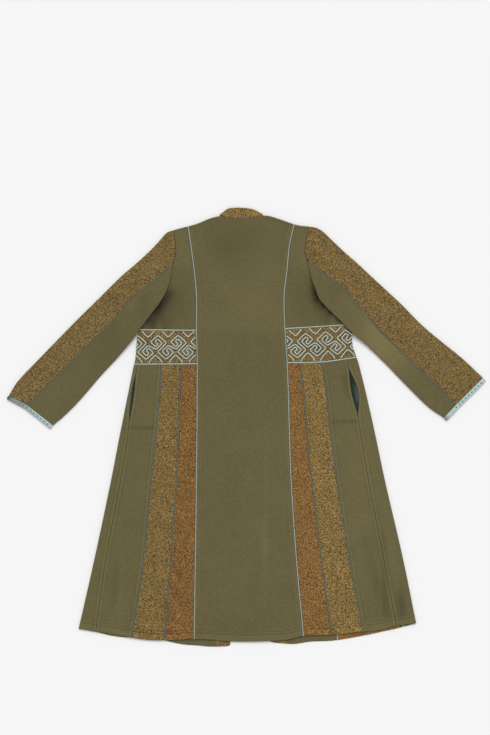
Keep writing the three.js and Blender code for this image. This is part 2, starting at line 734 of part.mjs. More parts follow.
addBackCentre();
addCollar();
for (const [name, side] of Object.entries(sides)) {
  addUpperSide(name, side);
  addWaistBand(name, side);
  addSkirt(name, side);
  addPocketBag(name, side);
  addSeamCords(name, side);
  addFront(name, side);
  addSleeve(name, side);
  addCuffBinding(name, side);
}

export default coat;
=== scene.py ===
import bpy
import numpy as np
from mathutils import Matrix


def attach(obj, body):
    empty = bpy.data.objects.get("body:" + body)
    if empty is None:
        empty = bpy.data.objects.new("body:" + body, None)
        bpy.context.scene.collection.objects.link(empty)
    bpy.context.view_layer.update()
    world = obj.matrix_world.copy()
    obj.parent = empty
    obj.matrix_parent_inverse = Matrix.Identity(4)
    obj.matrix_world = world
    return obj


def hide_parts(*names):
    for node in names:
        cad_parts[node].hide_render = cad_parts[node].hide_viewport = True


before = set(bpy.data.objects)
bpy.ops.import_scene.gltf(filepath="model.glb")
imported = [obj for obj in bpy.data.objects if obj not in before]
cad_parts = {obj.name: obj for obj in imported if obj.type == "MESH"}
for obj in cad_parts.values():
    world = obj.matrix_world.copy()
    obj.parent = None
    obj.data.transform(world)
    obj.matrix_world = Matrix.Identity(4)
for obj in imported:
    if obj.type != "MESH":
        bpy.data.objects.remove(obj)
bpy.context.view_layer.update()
print("frame loaded:", len(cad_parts), "nodes")

# Lengths are in millimetres until a mesh is made.
toMetres = 0.001
cloth = 2.4  # wall of the felted wool
rim = 0.9  # what is left of it at a rounded edge
seamGap = 0.3
armholeGap = 0.15
collarEase = 1.0
braidWidth, braidProud = 3.0, 0.9
pipingWidth, pipingProud = 2.2, 0.5
bagCloth, bagUnder, bagDepth, bagOver = 1.0, 2.6, 66, 8
backUnder = 3.8  # height of the back layer's underside
foldRadius = 3.1
foldInside = foldRadius - cloth
halfTurn = np.pi * foldRadius
sleeveRise = 7.5  # most that a sleeve lifts where it lies on the body
collarDepth = 500  # level where the collar ends on the fronts
halfGap = seamGap / 2
pastBraid = braidWidth / 2 + seamGap
pastPiping = pipingWidth / 2 + seamGap
upward = np.array([0.0, 0.0, 1.0])


def mix(a, b, share):
    return a + (b - a) * share


def smoothStep(low, high, value):
    # rises from 0 to 1 with level ends
    share = np.clip((value - low) / (high - low), 0, 1)
    return share * share * (3 - 2 * share)


def bell(value):
    return np.exp(-value * value)


def roundShare(turn):
    # 0 on the back and 1 once a turned cloth has come round to the front
    return (1 - np.cos(turn)) / 2


def unit(vectors):
    return vectors / np.linalg.norm(vectors, axis=1, keepdims=True)


def lengthAlong(path):
    # distance from a path's start to each of its points
    return np.r_[0, np.cumsum(np.linalg.norm(np.diff(path, axis=0), axis=1))]


def evenSteps(low, high, step):
    # places about a step apart, with both ends
    return np.linspace(low, high, max(int(abs(high - low) / step), 2) + 1)


def throughKnots(pairs):
    # a cubic between each two knots, with slopes from the neighbours, and straight on past the ends
    knots = np.array(sorted(pairs), float)
    at, value = knots[:, 0], knots[:, 1]
    before = np.r_[0, np.arange(len(at) - 1)]
    after = np.r_[np.arange(1, len(at)), len(at) - 1]
    slopes = (value[after] - value[before]) / (at[after] - at[before])

    def line(where):
        where = np.asarray(where, float)
        i = np.clip(np.searchsorted(at, where, side="right") - 1, 0, len(at) - 2)
        span = at[i + 1] - at[i]
        s = np.clip((where - at[i]) / span, 0, 1)
        curve = mix(value[i], value[i + 1], s * s * (3 - 2 * s))
        curve = curve + s * (1 - s) ** 2 * span * slopes[i] + s * s * (s - 1) * span * slopes[i + 1]
        return curve + np.minimum(where - at[0], 0) * slopes[0] + np.maximum(where - at[-1], 0) * slopes[-1]

    return line


def readAt(at, values, sample):
    # values that are known at some distances, read at others
    return throughKnots(np.c_[at, values].tolist())(sample)


def beside(line, offset):
    return lambda at: line(at) + offset


def level(value):
    return lambda at: np.full_like(np.asarray(at, float), value)


def nothing(x, y):
    # no height or no tone anywhere
    return np.zeros_like(x)


# outline of the body, level y for each place x
shoulderLeft = throughKnots([[-191, 512], [-172, 517.5], [-152, 522.5], [-126, 530], [-95, 543],
                             [-70, 549.5]])
neckSeam = throughKnots([[-70, 549.5], [-45, 545.6], [-22, 543.3], [12, 545.1], [43, 551]])
shoulderRight = throughKnots([[43, 551], [61, 549], [92, 539], [124, 528], [139, 524.5], [163, 522]])
collarTop = throughKnots([[-56, 564], [-49.5, 568], [-44, 570.2], [-22, 571.2], [6, 569.4], [22.5, 565.4],
                          [45, 552]])
backHem = throughKnots([[-437, -524], [-366, -535], [-299, -547], [-257, -553], [-213, -554], [-136, -551],
                        [-95, -553], [-39, -557], [25, -557], [104, -553], [148, -543], [219, -540],
                        [303, -532], [344, -528], [387, -517], [441, -510]])
frontHem = throughKnots([[-437, -524], [-396, -532], [-343, -544], [-280, -549], [-222, -552], [-205, -557],
                         [-165, -565], [-126, -568], [-91, -571], [-42, -569], [62, -560], [87, -562],
                         [124, -564], [165, -558], [228, -555], [311, -541], [353, -532], [394, -523],
                         [441, -510]])
neckLeft, neckRight = -70, 43


def topOutline(x):
    # both shoulders and the neck seam between them
    return np.where(x < neckLeft, shoulderLeft(x), np.where(x > neckRight, shoulderRight(x), neckSeam(x)))


# one entry for each side: seams as [y, x], lines across as [x, y]
sides = {
    "left": {
        "sign": -1,
        "princess": [[523, -152], [478, -145], [408, -136], [344, -130], [254, -130], [165, -128],
                     [-137, -130], [-550, -136]],
        "frontPrincess": [[523, -152], [430, -165], [340, -178], [254, -184], [165, -183], [-565, -217]],
        "bandSeam": [[549, -72], [500, -73], [400, -80], [254, -85], [165, -85], [-565, -87]],
        "bandEdge": [[500, -47], [400, -42], [254, -40], [165, -40], [-565, -42]],
        "skirt": [  # level, rust seam, green seam, side seam, fold, front green seam, front rust seam
            [165, -167, -221, -283, -292, -256, -214],
            [76, -174, -227, -298, -310, -273, -224],
            [-23, -177, -236, -309, -330, -292, -236],
            [-137, -182, -248, -327, -352, -314, -249],
            [-345, -197, -268, -366, -396, -355, -273],
            [-553, -214, -299, -395, -443, -397, -297],
        ],
        "upperFold": [[326, -272], [292, -274], [254, -279], [233, -284], [186, -288]],
        "armhole": [[512, -191], [461, -184], [427, -190], [396, -199], [362, -217], [341, -243],
                    [326, -272]],
        "bandTop": [[-284, 253.5], [-130, 252]],
        "bandBottom": [[-291, 164], [-129, 165]],
        "slit": {"top": 141, "bottom": 15, "backLip": 4, "frontLip": 3.4, "bagReach": 5},
        "collarFold": {"seam": [-70.5, 552.3], "edge": [-50, 568]},
        "sleeve": [  # outer edge, seam and inner edge of each cross row, x and y
            [-191, 512, -189, 432, -190, 424],
            [-207, 506, -203, 415, -194.6, 404],
            [-229, 482, -222, 397, -199.2, 377.5],
            [-254, 456, -243, 380, -208, 353],
            [-289, 424, -265, 364, -220, 331],
            [-322, 396, -290, 341, -240, 303],
            [-353, 366, -312, 320, -265, 270],
            [-381, 338, -339, 285, -296, 228],
            [-436, 284, -378, 247, -334, 183],
            [-486, 233, -422, 205, -378, 135],
            [-545, 172, -484, 139, -436, 68],
            [-595, 119, -536, 90, -477, 27],
            [-618, 83, -570, 58, -503, 5],
        ],
        "rises": [0, 0.6, 0.92, 1, 1, 1, 1, 1, 0.35, 0, 0, 0, 0],  # share of the sleeve's lift in each row
        "cuff": [-624, 74, -576, 49, -509, -4],
    },
    "right": {
        "sign": 1,
        "princess": [[528, 124], [475, 112], [405, 105], [344, 98], [256, 100], [165, 106], [-23, 112],
                     [-137, 116], [-345, 130], [-550, 149]],
        "frontPrincess": [[528, 124], [430, 146], [340, 170], [254, 184], [165, 186], [-565, 238]],
        "bandSeam": [[549, 46], [500, 49], [400, 66], [254, 90], [165, 96], [-565, 107]],
        "bandEdge": [[500, 22], [400, 30], [254, 46], [165, 51], [-565, 62]],
        "skirt": [
            [165, 141, 197, 264, 292, 256, 220],
            [76, 150, 209, 282, 314, 276, 232],
            [-23, 158, 220, 298, 336, 298, 245],
            [-137, 169, 235, 317, 360, 324, 261],
            [-345, 195, 268, 357, 408, 371, 290],
            [-553, 223, 308, 397, 450, 417, 318],
        ],
        "upperFold": [[331, 252], [292, 259], [266, 267], [245, 274], [213, 276], [183, 286]],
        "armhole": [[522, 163], [469, 153], [450, 153], [432, 158], [404, 168], [367, 186], [346, 215],
                    [331, 252]],
        "bandTop": [[100, 256.5], [257, 266]],
        "bandBottom": [[106, 168], [198, 170], [286, 182]],
        "slit": {"top": 153, "bottom": 30, "backLip": 6, "frontLip": 12, "bagReach": 16},
        "collarFold": {"seam": [43.5, 553.9], "edge": [22.5, 565.4]},
        "sleeve": [
            [163, 522, 158, 437, 158, 431],
            [181, 519, 169, 424, 162.2, 413.2],
            [200, 508, 187, 410, 168.4, 386.8],
            [226, 483, 208, 394, 179, 358],
            [257, 454, 229, 381, 189, 333],
            [288, 427, 251, 360, 212, 307],
            [322, 395, 275, 334, 239, 281],
            [360, 360, 302, 304, 271, 248],
            [404, 319, 342, 255, 313, 213],
            [454, 268, 391, 207, 363, 164],
            [507, 223, 443, 157, 415, 110],
            [559, 181, 498, 109, 472, 54],
            [615, 129, 545, 59, 513, 25],
        ],
        "rises": [0, 0.6, 0.92, 1, 1, 1, 1, 1, 0.5, 0, 0, 0, 0],
        "cuff": [623.5, 121, 553, 51, 521, 17],
    },
}

skirtColumns = {"rust": 1, "green": 2, "side": 3, "frontGreen": 5, "frontRust": 6}
foldColumn = 4
for side in sides.values():
    skirt = np.array(side["skirt"], float)
    side["fold"] = throughKnots(side["upperFold"] + skirt[:, [0, foldColumn]].tolist())
    side["underarm"] = side["armhole"][-1][0]
    side["armholeLine"] = throughKnots(side["armhole"])
    for name in ("princess", "frontPrincess", "bandSeam", "bandEdge", "bandTop", "bandBottom"):
        side[name] = throughKnots(side[name])
    for name, column in skirtColumns.items():
        side[name] = throughKnots(skirt[:, [0, column]].tolist())
    side["rows"] = np.array(side["sleeve"] + [side["cuff"]], float)
    side["rowsAt"] = lengthAlong(side["rows"].reshape(-1, 3, 2).mean(axis=1))

# soft ridges and hollows of the back: from x, y to x, y, half width, height
bodyCreases = [
    [-118, 251, 90, 252, 16, 1.1],
    [-8, 525, -3, 425, 24, -0.9],
    [44, -270, 58, -440, 22, 1.6],
    [-40, -60, -52, -330, 34, 0.9],
    [322, -230, 366, -505, 18, 2.6],
    [286, -330, 322, -525, 15, 1.9],
    [-318, -280, -362, -520, 18, 1.9],
    [-292, -10, -306, -130, 16, 1.4],
    [300, 20, 330, -120, 18, 1.8],
    [-190, -260, -206, -540, 18, 1.2],
    [212, -300, 228, -530, 20, 1.4],
    [53, 11, 43, -397, 9, 0.5],
    [-96, 420, -70, 210, 30, 0.6],
    [70, 470, 62, 300, 26, 0.7],
    [-150, 330, -170, 270, 12, 0.9],
    [-226, 330, -214, 262, 9, -1.6],
    [-204, 345, -196, 268, 7, 1.2],
    [196, 350, 206, 278, 8, -1.4],
    [222, 330, 228, 280, 8, 1.0],
    [150, 330, 160, 275, 12, 0.8],
]
creaseFade = (-0.15, 0.3)  # shares of a crease's length between which it fades in
reliefFade = 24
wavePlan = {"seed": 7, "count": 9, "shortest": 70, "longest": 210, "height": 0.16}
waveSeeds = np.random.default_rng(wavePlan["seed"])
waveLengths = waveSeeds.uniform(wavePlan["shortest"], wavePlan["longest"], wavePlan["count"])
waveTurns = waveSeeds.uniform(0, np.pi, wavePlan["count"])
waveStarts = waveSeeds.uniform(0, 2 * np.pi, wavePlan["count"])


def creaseSum(creases, x, y):
    # a bell across each crease's line, faded out past both of its ends
    total = np.zeros_like(x)
    for fromX, fromY, toX, toY, halfWidth, height in creases:
        alongX, alongY = toX - fromX, toY - fromY
        length = np.hypot(alongX, alongY)
        along = ((x - fromX) * alongX + (y - fromY) * alongY) / length ** 2
        across = ((x - fromX) * alongY - (y - fromY) * alongX) / length
        fade = smoothStep(*creaseFade, along) * smoothStep(*creaseFade, 1 - along)
        total = total + height * fade * bell(across / halfWidth)
    return total


def spotSum(spots, x, y):
    # a bell in both directions about each spot's centre
    return sum(strength * bell((x - cx) / halfX) * bell((y - cy) / halfY)
               for cx, cy, halfX, halfY, strength in spots)


def softWaves(x, y):
    # a sum of long sines in seeded directions
    total = np.zeros_like(x)
    for length, turn, start in zip(waveLengths, waveTurns, waveStarts):
        total = total + np.sin((x * np.cos(turn) + y * np.sin(turn)) * 2 * np.pi / length + start)
    return wavePlan["height"] * total


def backRise(x, y):
    # creases and waves of the back layer, dying away towards the turned sides
    foldAt = np.where(x < 0, -sides["left"]["fold"](y), sides["right"]["fold"](y))
    inside = foldAt - foldRadius - np.abs(x)
    return smoothStep(0, reliefFade, inside) * (creaseSum(bodyCreases, x, y) + softWaves(x, y))


noisePlan = {"seed": 23, "size": 256}
noiseTable = np.random.default_rng(noisePlan["seed"]).uniform(-1, 1, (noisePlan["size"], noisePlan["size"]))


def curlNoise(x, y, cell):
    # random heights on a square lattice, joined smoothly between its points
    gx, gy = x / cell, y / cell
    ix, iy = np.floor(gx).astype(int), np.floor(gy).astype(int)
    fx, fy = smoothStep(0, 1, gx - ix), smoothStep(0, 1, gy - iy)
    size = noisePlan["size"]
    corner = [[noiseTable[(ix + i) % size, (iy + j) % size] for j in (0, 1)] for i in (0, 1)]
    return mix(mix(corner[0][0], corner[1][0], fx), mix(corner[0][1], corner[1][1], fx), fy)


# soft lighter and darker places: uneven nap, and painted shade in the hollows beside the sleeves and in
# creases: x, y, half width, half height, strength
napAndShadeSpots = [
    [-37, 474, 58, 56, -0.19],
    [28, 336, 74, 84, 0.07],
    [0, 130, 120, 70, -0.03],
    [49, -335, 9, 75, 0.09],
    [-205, 470, 20, 40, 0.05],
    [150, 455, 22, 40, 0.04],
    [400, -470, 12, 50, -0.14],
    [-290, -480, 14, 60, -0.06],
    [-60, -200, 60, 200, -0.02],
    [300, -130, 60, 300, 0.10],
    [-195, 346, 9, 16, -0.20],
    [183, 344, 8, 15, -0.30],
    [-165, 320, 46, 60, -0.08],
    [140, 320, 46, 60, -0.08],
    [0, -520, 140, 60, -0.06],
]
# the same along lines, mostly painted shade under the sleeves' edges, beside the slits and in crease troughs,
# with painted light along some ridges: from x, y to x, y, half width, strength
napAndShadeLines = [
    [-200, 356, -258, 238, 12, -0.55],
    [-206, 352, -316, 196, 8, -0.62],
    [-180, 362, -226, 250, 24, -0.14],
    [-220, 335, -212, 236, 5, -0.26],
    [-203, 340, -198, 244, 4, -0.16],
    [164, 396, 190, 300, 7, -0.30],
    [164, 362, 238, 276, 9, -0.30],
    [174, 374, 197, 316, 6, -0.42],
    [190, 330, 300, 226, 6, -0.62],
    [150, 372, 215, 262, 20, -0.12],
    [200, 330, 209, 256, 5, -0.16],
    [300, -280, 352, -440, 18, -0.07],
    [338, -380, 366, -505, 12, -0.16],
    [352, -180, 398, -440, 11, 0.08],
    [253, 148, 264, 74, 9, -0.18],
    [352, -249, 362, -493, 10, -0.13],
    [346, -337, 350, -501, 5, 0.12],
    [398, -423, 410, -501, 11, -0.20],
    [-336, -338, -348, -475, 9, -0.12],
    [-322, -300, -332, -500, 5, 0.07],
    [54, 11, 44, -397, 7, 0.06],
    [-340, -4, -216, -3, 3.5, -0.12],
    [206, 16, 300, 15, 4, -0.10],
]
# painted light and shade in steps across a level, lighter above and darker below as over a fold: level, from
# x, to x, above, below
lightAndShadeSteps = [[250, -122, 98, 0.045, -0.02], [419, -200, -142, 0.05, -0.03], [412, 108, 170, 0.05, -0.03]]
levelBlend = {"ends": 6, "step": 5, "reach": 150}


# painted light and shade, with the nap's own uneven tone, for the wool panels
def napAndShadeTone(x, y):
    # the spots and lines of nap and painted shade, and the painted light and shade steps, which die away
    # above and below each level
    total = spotSum(napAndShadeSpots, x, y) + creaseSum(napAndShadeLines, x, y)
    ends, half = levelBlend["ends"], levelBlend["step"]
    for at, low, high, above, below in lightAndShadeSteps:
        within = smoothStep(low - ends, low + ends, x) * smoothStep(-high - ends, -high + ends, -x)
        step = mix(below, above, smoothStep(at - half, at + half, y))
        total = total + within * step * bell((y - at) / levelBlend["reach"])
    return total


stripLight = {"right": 0.12, "from": -40, "to": 120, "middle": 0.04, "at": -150, "half": 260}


def stripTone(x, y):
    # the right half lies a little more to the light, and its middle most
    right = stripLight["right"] * smoothStep(stripLight["from"], stripLight["to"], x)
    return right + stripLight["middle"] * bell((y - stripLight["at"]) / stripLight["half"])


# painted highlight on turned allowances, painted shade in stitch grooves and at rims, and the darkest that a
# place may be painted
seamLightAndShade = {"allowance": 0.14, "before": 0.5, "past": 2.5, "groove": -0.30, "grooveHalf": 1.2, "rim": -0.12,
            "darkest": -0.85}


def edgeLightAndShade(distances, edges):
    # painted light and shade: turned allowances lighter where their ridge catches the light, painted shade in
    # the stitch grooves and at the rounded rims
    total = 0.0
    for distance, edge in zip(distances, edges):
        if edge["reach"]:
            low, high = edge["reach"] - seamLightAndShade["before"], edge["reach"] + seamLightAndShade["past"]
            total = total + seamLightAndShade["allowance"] * (1 - smoothStep(low, high, distance))
        for stitch in edge["stitches"]:
            # an edge's "dark" deepens its painted groove shade
            groove = seamLightAndShade["groove"] * edge.get("dark", 1)
            total = total + groove * bell((distance - stitch) / seamLightAndShade["grooveHalf"])
        total = total + seamLightAndShade["rim"] * (1 - smoothStep(0, edge["round"], distance))
    return total


# meshes: points, faces that name numbered corners, the point and the run coordinates of each corner
def gridCorners(rows, cols, ring):
    # numbered corners of a grid, the point of each corner, and its cells; a ring's last column is its first
    wide = cols + 1 if ring else cols
    corners = np.arange(rows * wide).reshape(rows, wide)
    points = np.arange(rows * cols).reshape(rows, cols)
    wrap = np.c_[points, points[:, :1]] if ring else points
    cells = np.stack([corners[:-1, :-1], corners[:-1, 1:], corners[1:, 1:], corners[1:, :-1]], -1)
    return corners, wrap.ravel(), cells.reshape(-1, 4)


def shellPart(outer, inner, run, ring=False):
    # two facing grids joined by a rim all round
    rows, cols = outer.shape[:2]
    corners, wrap, cells = gridCorners(rows, cols, ring)
    half = corners.size
    faces = [cells, cells[:, [0, 3, 2, 1]] + half]
    lines = [corners[0], corners[-1][::-1]]
    if not ring:
        lines += [corners[:, 0][::-1], corners[:, -1]]
    for line in lines:
        p, q = line[:-1], line[1:]
        faces.append(np.stack([q, p, p + half, q + half], -1))
    return {
        "points": np.concatenate([outer.reshape(-1, 3), inner.reshape(-1, 3)]),
        "wrap": np.concatenate([wrap, wrap + rows * cols]),
        "run": np.concatenate([run.reshape(-1, 2)] * 2),
        "quads": np.concatenate(faces),
        "tris": np.zeros((0, 3), int),
    }


tubeEnd = {"share": 0.72, "over": 0.9}


def tubePart(path, outward, halfWide, halfHigh, plan):
    # an oval ring carried along a path; its radius swells where a ply of the twist comes up
    along = unit(np.gradient(path, axis=0))
    across = unit(np.cross(outward, along))
    up = np.cross(along, across)
    length = lengthAlong(path)
    share = np.arange(plan["sides"]) / plan["sides"]
    turn = 2 * np.pi * share
    phase = plan["plies"] * (turn[None, :] - 2 * np.pi * length[:, None] / plan["pitch"])
    swell = 1 + plan["twist"] * np.cos(phase)
    ends = np.minimum(length, length[-1] - length)
    swell = swell * mix(tubeEnd["share"], 1, smoothStep(0, tubeEnd["over"], ends))[:, None]
    wide = np.broadcast_to(halfWide, length.shape)[:, None] * swell * np.cos(turn)
    high = np.broadcast_to(halfHigh, length.shape)[:, None] * swell * np.sin(turn)
    rings = path[:, None] + across[:, None] * wide[..., None] + up[:, None] * high[..., None]
    rows, cols = rings.shape[:2]
    corners, wrap, cells = gridCorners(rows, cols, True)
    first = corners.size
    head = np.stack([corners[0, :-1], np.full(cols, first), corners[0, 1:]], -1)
    tail = np.stack([corners[-1, 1:], np.full(cols, first + 1), corners[-1, :-1]], -1)
    run = np.stack(np.broadcast_arrays(np.r_[share, 1][None, :], length[:, None] * toMetres), -1)
    return {
        "points": np.concatenate([rings.reshape(-1, 3), path[[0, -1]]]),
        "wrap": np.r_[wrap, rows * cols, rows * cols + 1],
        "run": np.concatenate([run.reshape(-1, 2), [[0.5, 0], [0.5, length[-1] * toMetres]]]),
        "quads": cells,
        "tris": np.concatenate([head, tail]),
    }


def joinParts(parts):
    # one part of many, with each part's numbers moved past those before it
    starts = {
        "wrap": np.cumsum([0] + [len(part["points"]) for part in parts]),
        "quads": np.cumsum([0] + [len(part["wrap"]) for part in parts]),
    }
    starts["tris"] = starts["quads"]
    joined = {key: np.concatenate([part[key] for part in parts]) for key in ("points", "run")}
    for key, startAt in starts.items():
        joined[key] = np.concatenate([part[key] + start for part, start in zip(parts, startAt)])
    return joined


def signedVolume(part):
    # a sixth of the triple product of each face's corners, summed
    quads, tris = part["wrap"][part["quads"]], part["wrap"][part["tris"]]
    corners = np.concatenate([quads[:, [0, 1, 2]], quads[:, [0, 2, 3]], tris])
    p = part["points"][corners]
    return np.einsum("ij,ij->i", p[:, 0], np.cross(p[:, 1], p[:, 2])).sum() / 6


pieceCount = 0


def makePiece(name, part, finish, nodes=(), tone=None):
    # a mesh with its run and tone, its finish, and the CAD nodes that it stands for
    global pieceCount
    if signedVolume(part) < 0:
        part["quads"], part["tris"] = part["quads"][:, ::-1], part["tris"][:, ::-1]
    mesh = bpy.data.meshes.new(name)
    corners = np.concatenate([part["quads"].ravel(), part["tris"].ravel()])
    sizes = np.r_[np.full(len(part["quads"]), 4), np.full(len(part["tris"]), 3)]
    mesh.vertices.add(len(part["points"]))
    mesh.vertices.foreach_set("co", (part["points"] * toMetres).ravel())
    mesh.loops.add(len(corners))
    mesh.loops.foreach_set("vertex_index", part["wrap"][corners])
    mesh.polygons.add(len(sizes))
    mesh.polygons.foreach_set("loop_start", np.r_[0, np.cumsum(sizes)[:-1]])
    mesh.polygons.foreach_set("use_smooth", np.ones(len(sizes), bool))
    mesh.update(calc_edges=True)
    mesh.uv_layers.new(name="run").data.foreach_set("uv", part["run"][corners].ravel())
    if tone is not None:
        values = np.concatenate([tone.ravel()] * 2).astype(np.float32)
        mesh.attributes.new("tone", "FLOAT", "POINT").data.foreach_set("value", values)
    mesh.materials.append(materials[finish])
    piece = bpy.data.objects.new(name, mesh)
    bpy.context.scene.collection.objects.link(piece)
    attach(piece, "root")
    if nodes:
        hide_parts(*nodes)
    pieceCount += 1
    return piece


# materials: "fibre" makes a felt, "loop" a boucle and "plies" a twisted cord; fibre, mottle, loop and worm
# are patterns a metre, and pitch is in metres
threadLook = {"slot": "green_wool", "plies": 2, "pitch": 0.0011, "rough": 0.8, "sheen": 0.1, "bump": 0.3}
boucleLook = {"slot": "mustard_boucle", "loop": 500, "worm": 290, "cover": 0.135, "rough": 0.95,
              "sheen": 0.05, "bump": 0.9}
cordLook = {"slot": "pale_cord", "plies": 2, "pitch": 0.0056, "rough": 0.8, "sheen": 0.15, "bump": 0.4}
pipingLook = {**cordLook, "slot": "grey_piping", "pitch": 0.0044, "rough": 0.85, "sheen": 0.1}
finishes = {
    "greenFelt": {"slot": "green_wool", "dark": (0.088, 0.0745, 0.030), "light": (0.146, 0.1245, 0.054),
                  "fibre": 900, "mottle": 220, "rough": 0.92, "sheen": 0.06, "bump": 0.6},
    "greenThread": {**threadLook, "dark": (0.070, 0.060, 0.026), "light": (0.150, 0.128, 0.058)},
    "tanThread": {**threadLook, "dark": (0.175, 0.120, 0.052), "light": (0.340, 0.235, 0.105)},
    # near black thread: painted shade of a stitch groove
    "grooveShadeThread": {**threadLook, "dark": (0.026, 0.023, 0.011), "light": (0.060, 0.052, 0.026)},
    "mustardBoucle": {**boucleLook, "dark": (0.178, 0.114, 0.032), "light": (0.530, 0.352, 0.115),
                      "fleckColour": (0.026, 0.015, 0.007)},
    "sleeveBoucle": {**boucleLook, "dark": (0.196, 0.130, 0.040), "light": (0.412, 0.279, 0.096),
                     "fleckColour": (0.034, 0.020, 0.010), "cover": 0.14, "bump": 0.7},
    "rustBoucle": {**boucleLook, "slot": "rust_boucle", "dark": (0.190, 0.094, 0.023),
                   "light": (0.515, 0.275, 0.083), "fleckColour": (0.032, 0.018, 0.008)},
    "paleCord": {**cordLook, "dark": (0.220, 0.284, 0.252), "light": (0.450, 0.528, 0.478)},
    "waistCord": {**cordLook, "dark": (0.265, 0.348, 0.308), "light": (0.540, 0.650, 0.585)},
    "paleYarn": {**cordLook, "dark": (0.330, 0.430, 0.415), "light": (0.610, 0.730, 0.710), "pitch": 0.0036,
                 "sheen": 0.1},
    "greyPiping": {**pipingLook, "dark": (0.070, 0.108, 0.094), "light": (0.175, 0.245, 0.222)},
    "seamCordGreen": {**pipingLook, "dark": (0.100, 0.116, 0.082), "light": (0.215, 0.245, 0.190)},
    "cuffTape": {"slot": "cuff_tape", "dark": (0.230, 0.300, 0.295), "light": (0.400, 0.490, 0.480),
                 "fibre": 700, "mottle": 160, "rough": 0.9, "sheen": 0.12, "bump": 0.5},
    "tealThread": {**threadLook, "slot": "cuff_tape", "dark": (0.016, 0.075, 0.085),
                   "light": (0.050, 0.160, 0.170), "pitch": 0.003, "rough": 0.75},
    "pocketLining": {"slot": "pocket_lining", "dark": (0.018, 0.029, 0.023), "light": (0.048, 0.073, 0.060),
                     "fibre": 1100, "mottle": 120, "rough": 0.85, "sheen": 0.05, "bump": 0.3},
}


def newGroup(name, inputs, outputs):
    # an empty node group with named inputs and outputs
    tree = bpy.data.node_groups.new(name, "ShaderNodeTree")
    for label, kind, value in inputs:
        socket = tree.interface.new_socket(name=label, in_out="INPUT", socket_type=kind)
        if value is not None:
            socket.default_value = value
    for label, kind in outputs:
        tree.interface.new_socket(name=label, in_out="OUTPUT", socket_type=kind)
    return tree, tree.nodes.new("NodeGroupInput").outputs, tree.nodes.new("NodeGroupOutput").inputs


def feed(tree, socket, value):
    # a link from another socket, or a constant
    if isinstance(value, bpy.types.NodeSocket):
        tree.links.new(value, socket)
    else:
        socket.default_value = value


def addNode(tree, kind, settings, **values):
    node = tree.nodes.new(kind)
    for key, value in settings.items():
        setattr(node, key, value)
    for key, value in values.items():
        feed(tree, node.inputs[key.replace("_", " ")], value)
    return node


def maths(tree, operation, *values):
    node = addNode(tree, "ShaderNodeMath", {"operation": operation})
    for socket, value in zip(node.inputs, values):
        feed(tree, socket, value)
    return node.outputs[0]


def noise(tree, vector, scale, detail=2.0, distortion=0.0):
    return addNode(tree, "ShaderNodeTexNoise", {}, Vector=vector, Scale=scale, Detail=detail,
                   Distortion=distortion).outputs[0]


def timesPlus(tree, value, factor, extra):
    return maths(tree, "MULTIPLY_ADD", value, factor, extra)


def between(tree, value, low, high, outLow=0.0, outHigh=1.0):
    node = addNode(tree, "ShaderNodeMapRange", {"interpolation_type": "SMOOTHSTEP"}, Value=value,
                   From_Min=low, From_Max=high, To_Min=outLow, To_Max=outHigh)
    return node.outputs[0]


def blendColours(tree, share, first, second):
    node = addNode(tree, "ShaderNodeMix", {"data_type": "RGBA"})
    for socket, value in zip((0, 6, 7), (share, first, second)):
        feed(tree, node.inputs[socket], value)
    return node.outputs[2]


number, colour, vector = "NodeSocketFloat", "NodeSocketColor", "NodeSocketVector"
fieldOut = [("Blend", number), ("Height", number), ("Roughness", number)]


def buildShade():
    # dark to light by the blend, over to the fleck colour by the fleck, then brighter or darker by the tone
    tree, given, out = newGroup("clothShade", [
        ("Dark", colour, (0, 0, 0, 1)), ("Light", colour, (1, 1, 1, 1)),
        ("Fleck Colour", colour, (0, 0, 0, 1)), ("Blend", number, 0.5), ("Fleck", number, 0.0),
        ("Tone", number, 0.0)], [("Color", colour)])
    ground = blendColours(tree, given["Blend"], given["Dark"], given["Light"])
    flecked = blendColours(tree, given["Fleck"], ground, given["Fleck Colour"])
    strength = maths(tree, "ADD", given["Tone"], 1.0)
    toned = addNode(tree, "ShaderNodeVectorMath", {"operation": "SCALE"}, Scale=strength)
    feed(tree, toned.inputs[0], flecked)
    feed(tree, out["Color"], toned.outputs[0])
    return tree


napLook = {"detail": 3.0, "warp": 0.6, "fibre": 0.8, "mottle": 1.1, "mottleBase": -0.6, "wideScale": 14.0,
           "wide": 0.35, "wideBase": -0.05, "mottleHeight": 0.4, "fibreRough": 0.12}


def buildNap():
    # fine fibres over wide mottling
    tree, given, out = newGroup("feltNap", [
        ("Vector", vector, None), ("Fibre Scale", number, 900), ("Mottle Scale", number, 90),
        ("Roughness", number, 0.9)], fieldOut)
    fibre = noise(tree, given["Vector"], given["Fibre Scale"], napLook["detail"], napLook["warp"])
    mottle = noise(tree, given["Vector"], given["Mottle Scale"], napLook["detail"])
    wide = noise(tree, given["Vector"], napLook["wideScale"])
    blend = timesPlus(tree, mottle, napLook["mottle"], napLook["mottleBase"])
    blend = timesPlus(tree, fibre, napLook["fibre"], blend)
    blend = maths(tree, "ADD", blend, timesPlus(tree, wide, napLook["wide"], napLook["wideBase"]))
    feed(tree, out["Blend"], blend)
    feed(tree, out["Height"], timesPlus(tree, mottle, napLook["mottleHeight"], fibre))
    feed(tree, out["Roughness"], timesPlus(tree, fibre, napLook["fibreRough"], given["Roughness"]))
    return tree


loopLook = {"reach": 0.75, "warp": 1.6, "wormCore": 0.35, "patchScale": 1.2, "patchFrom": 0.40,
            "patchTo": 0.50, "wideScale": 30.0, "wide": 0.36, "wideBase": -0.08, "loop": 0.7, "fleck": 0.9,
            "fleckHeight": -0.3, "loopRough": 0.05}


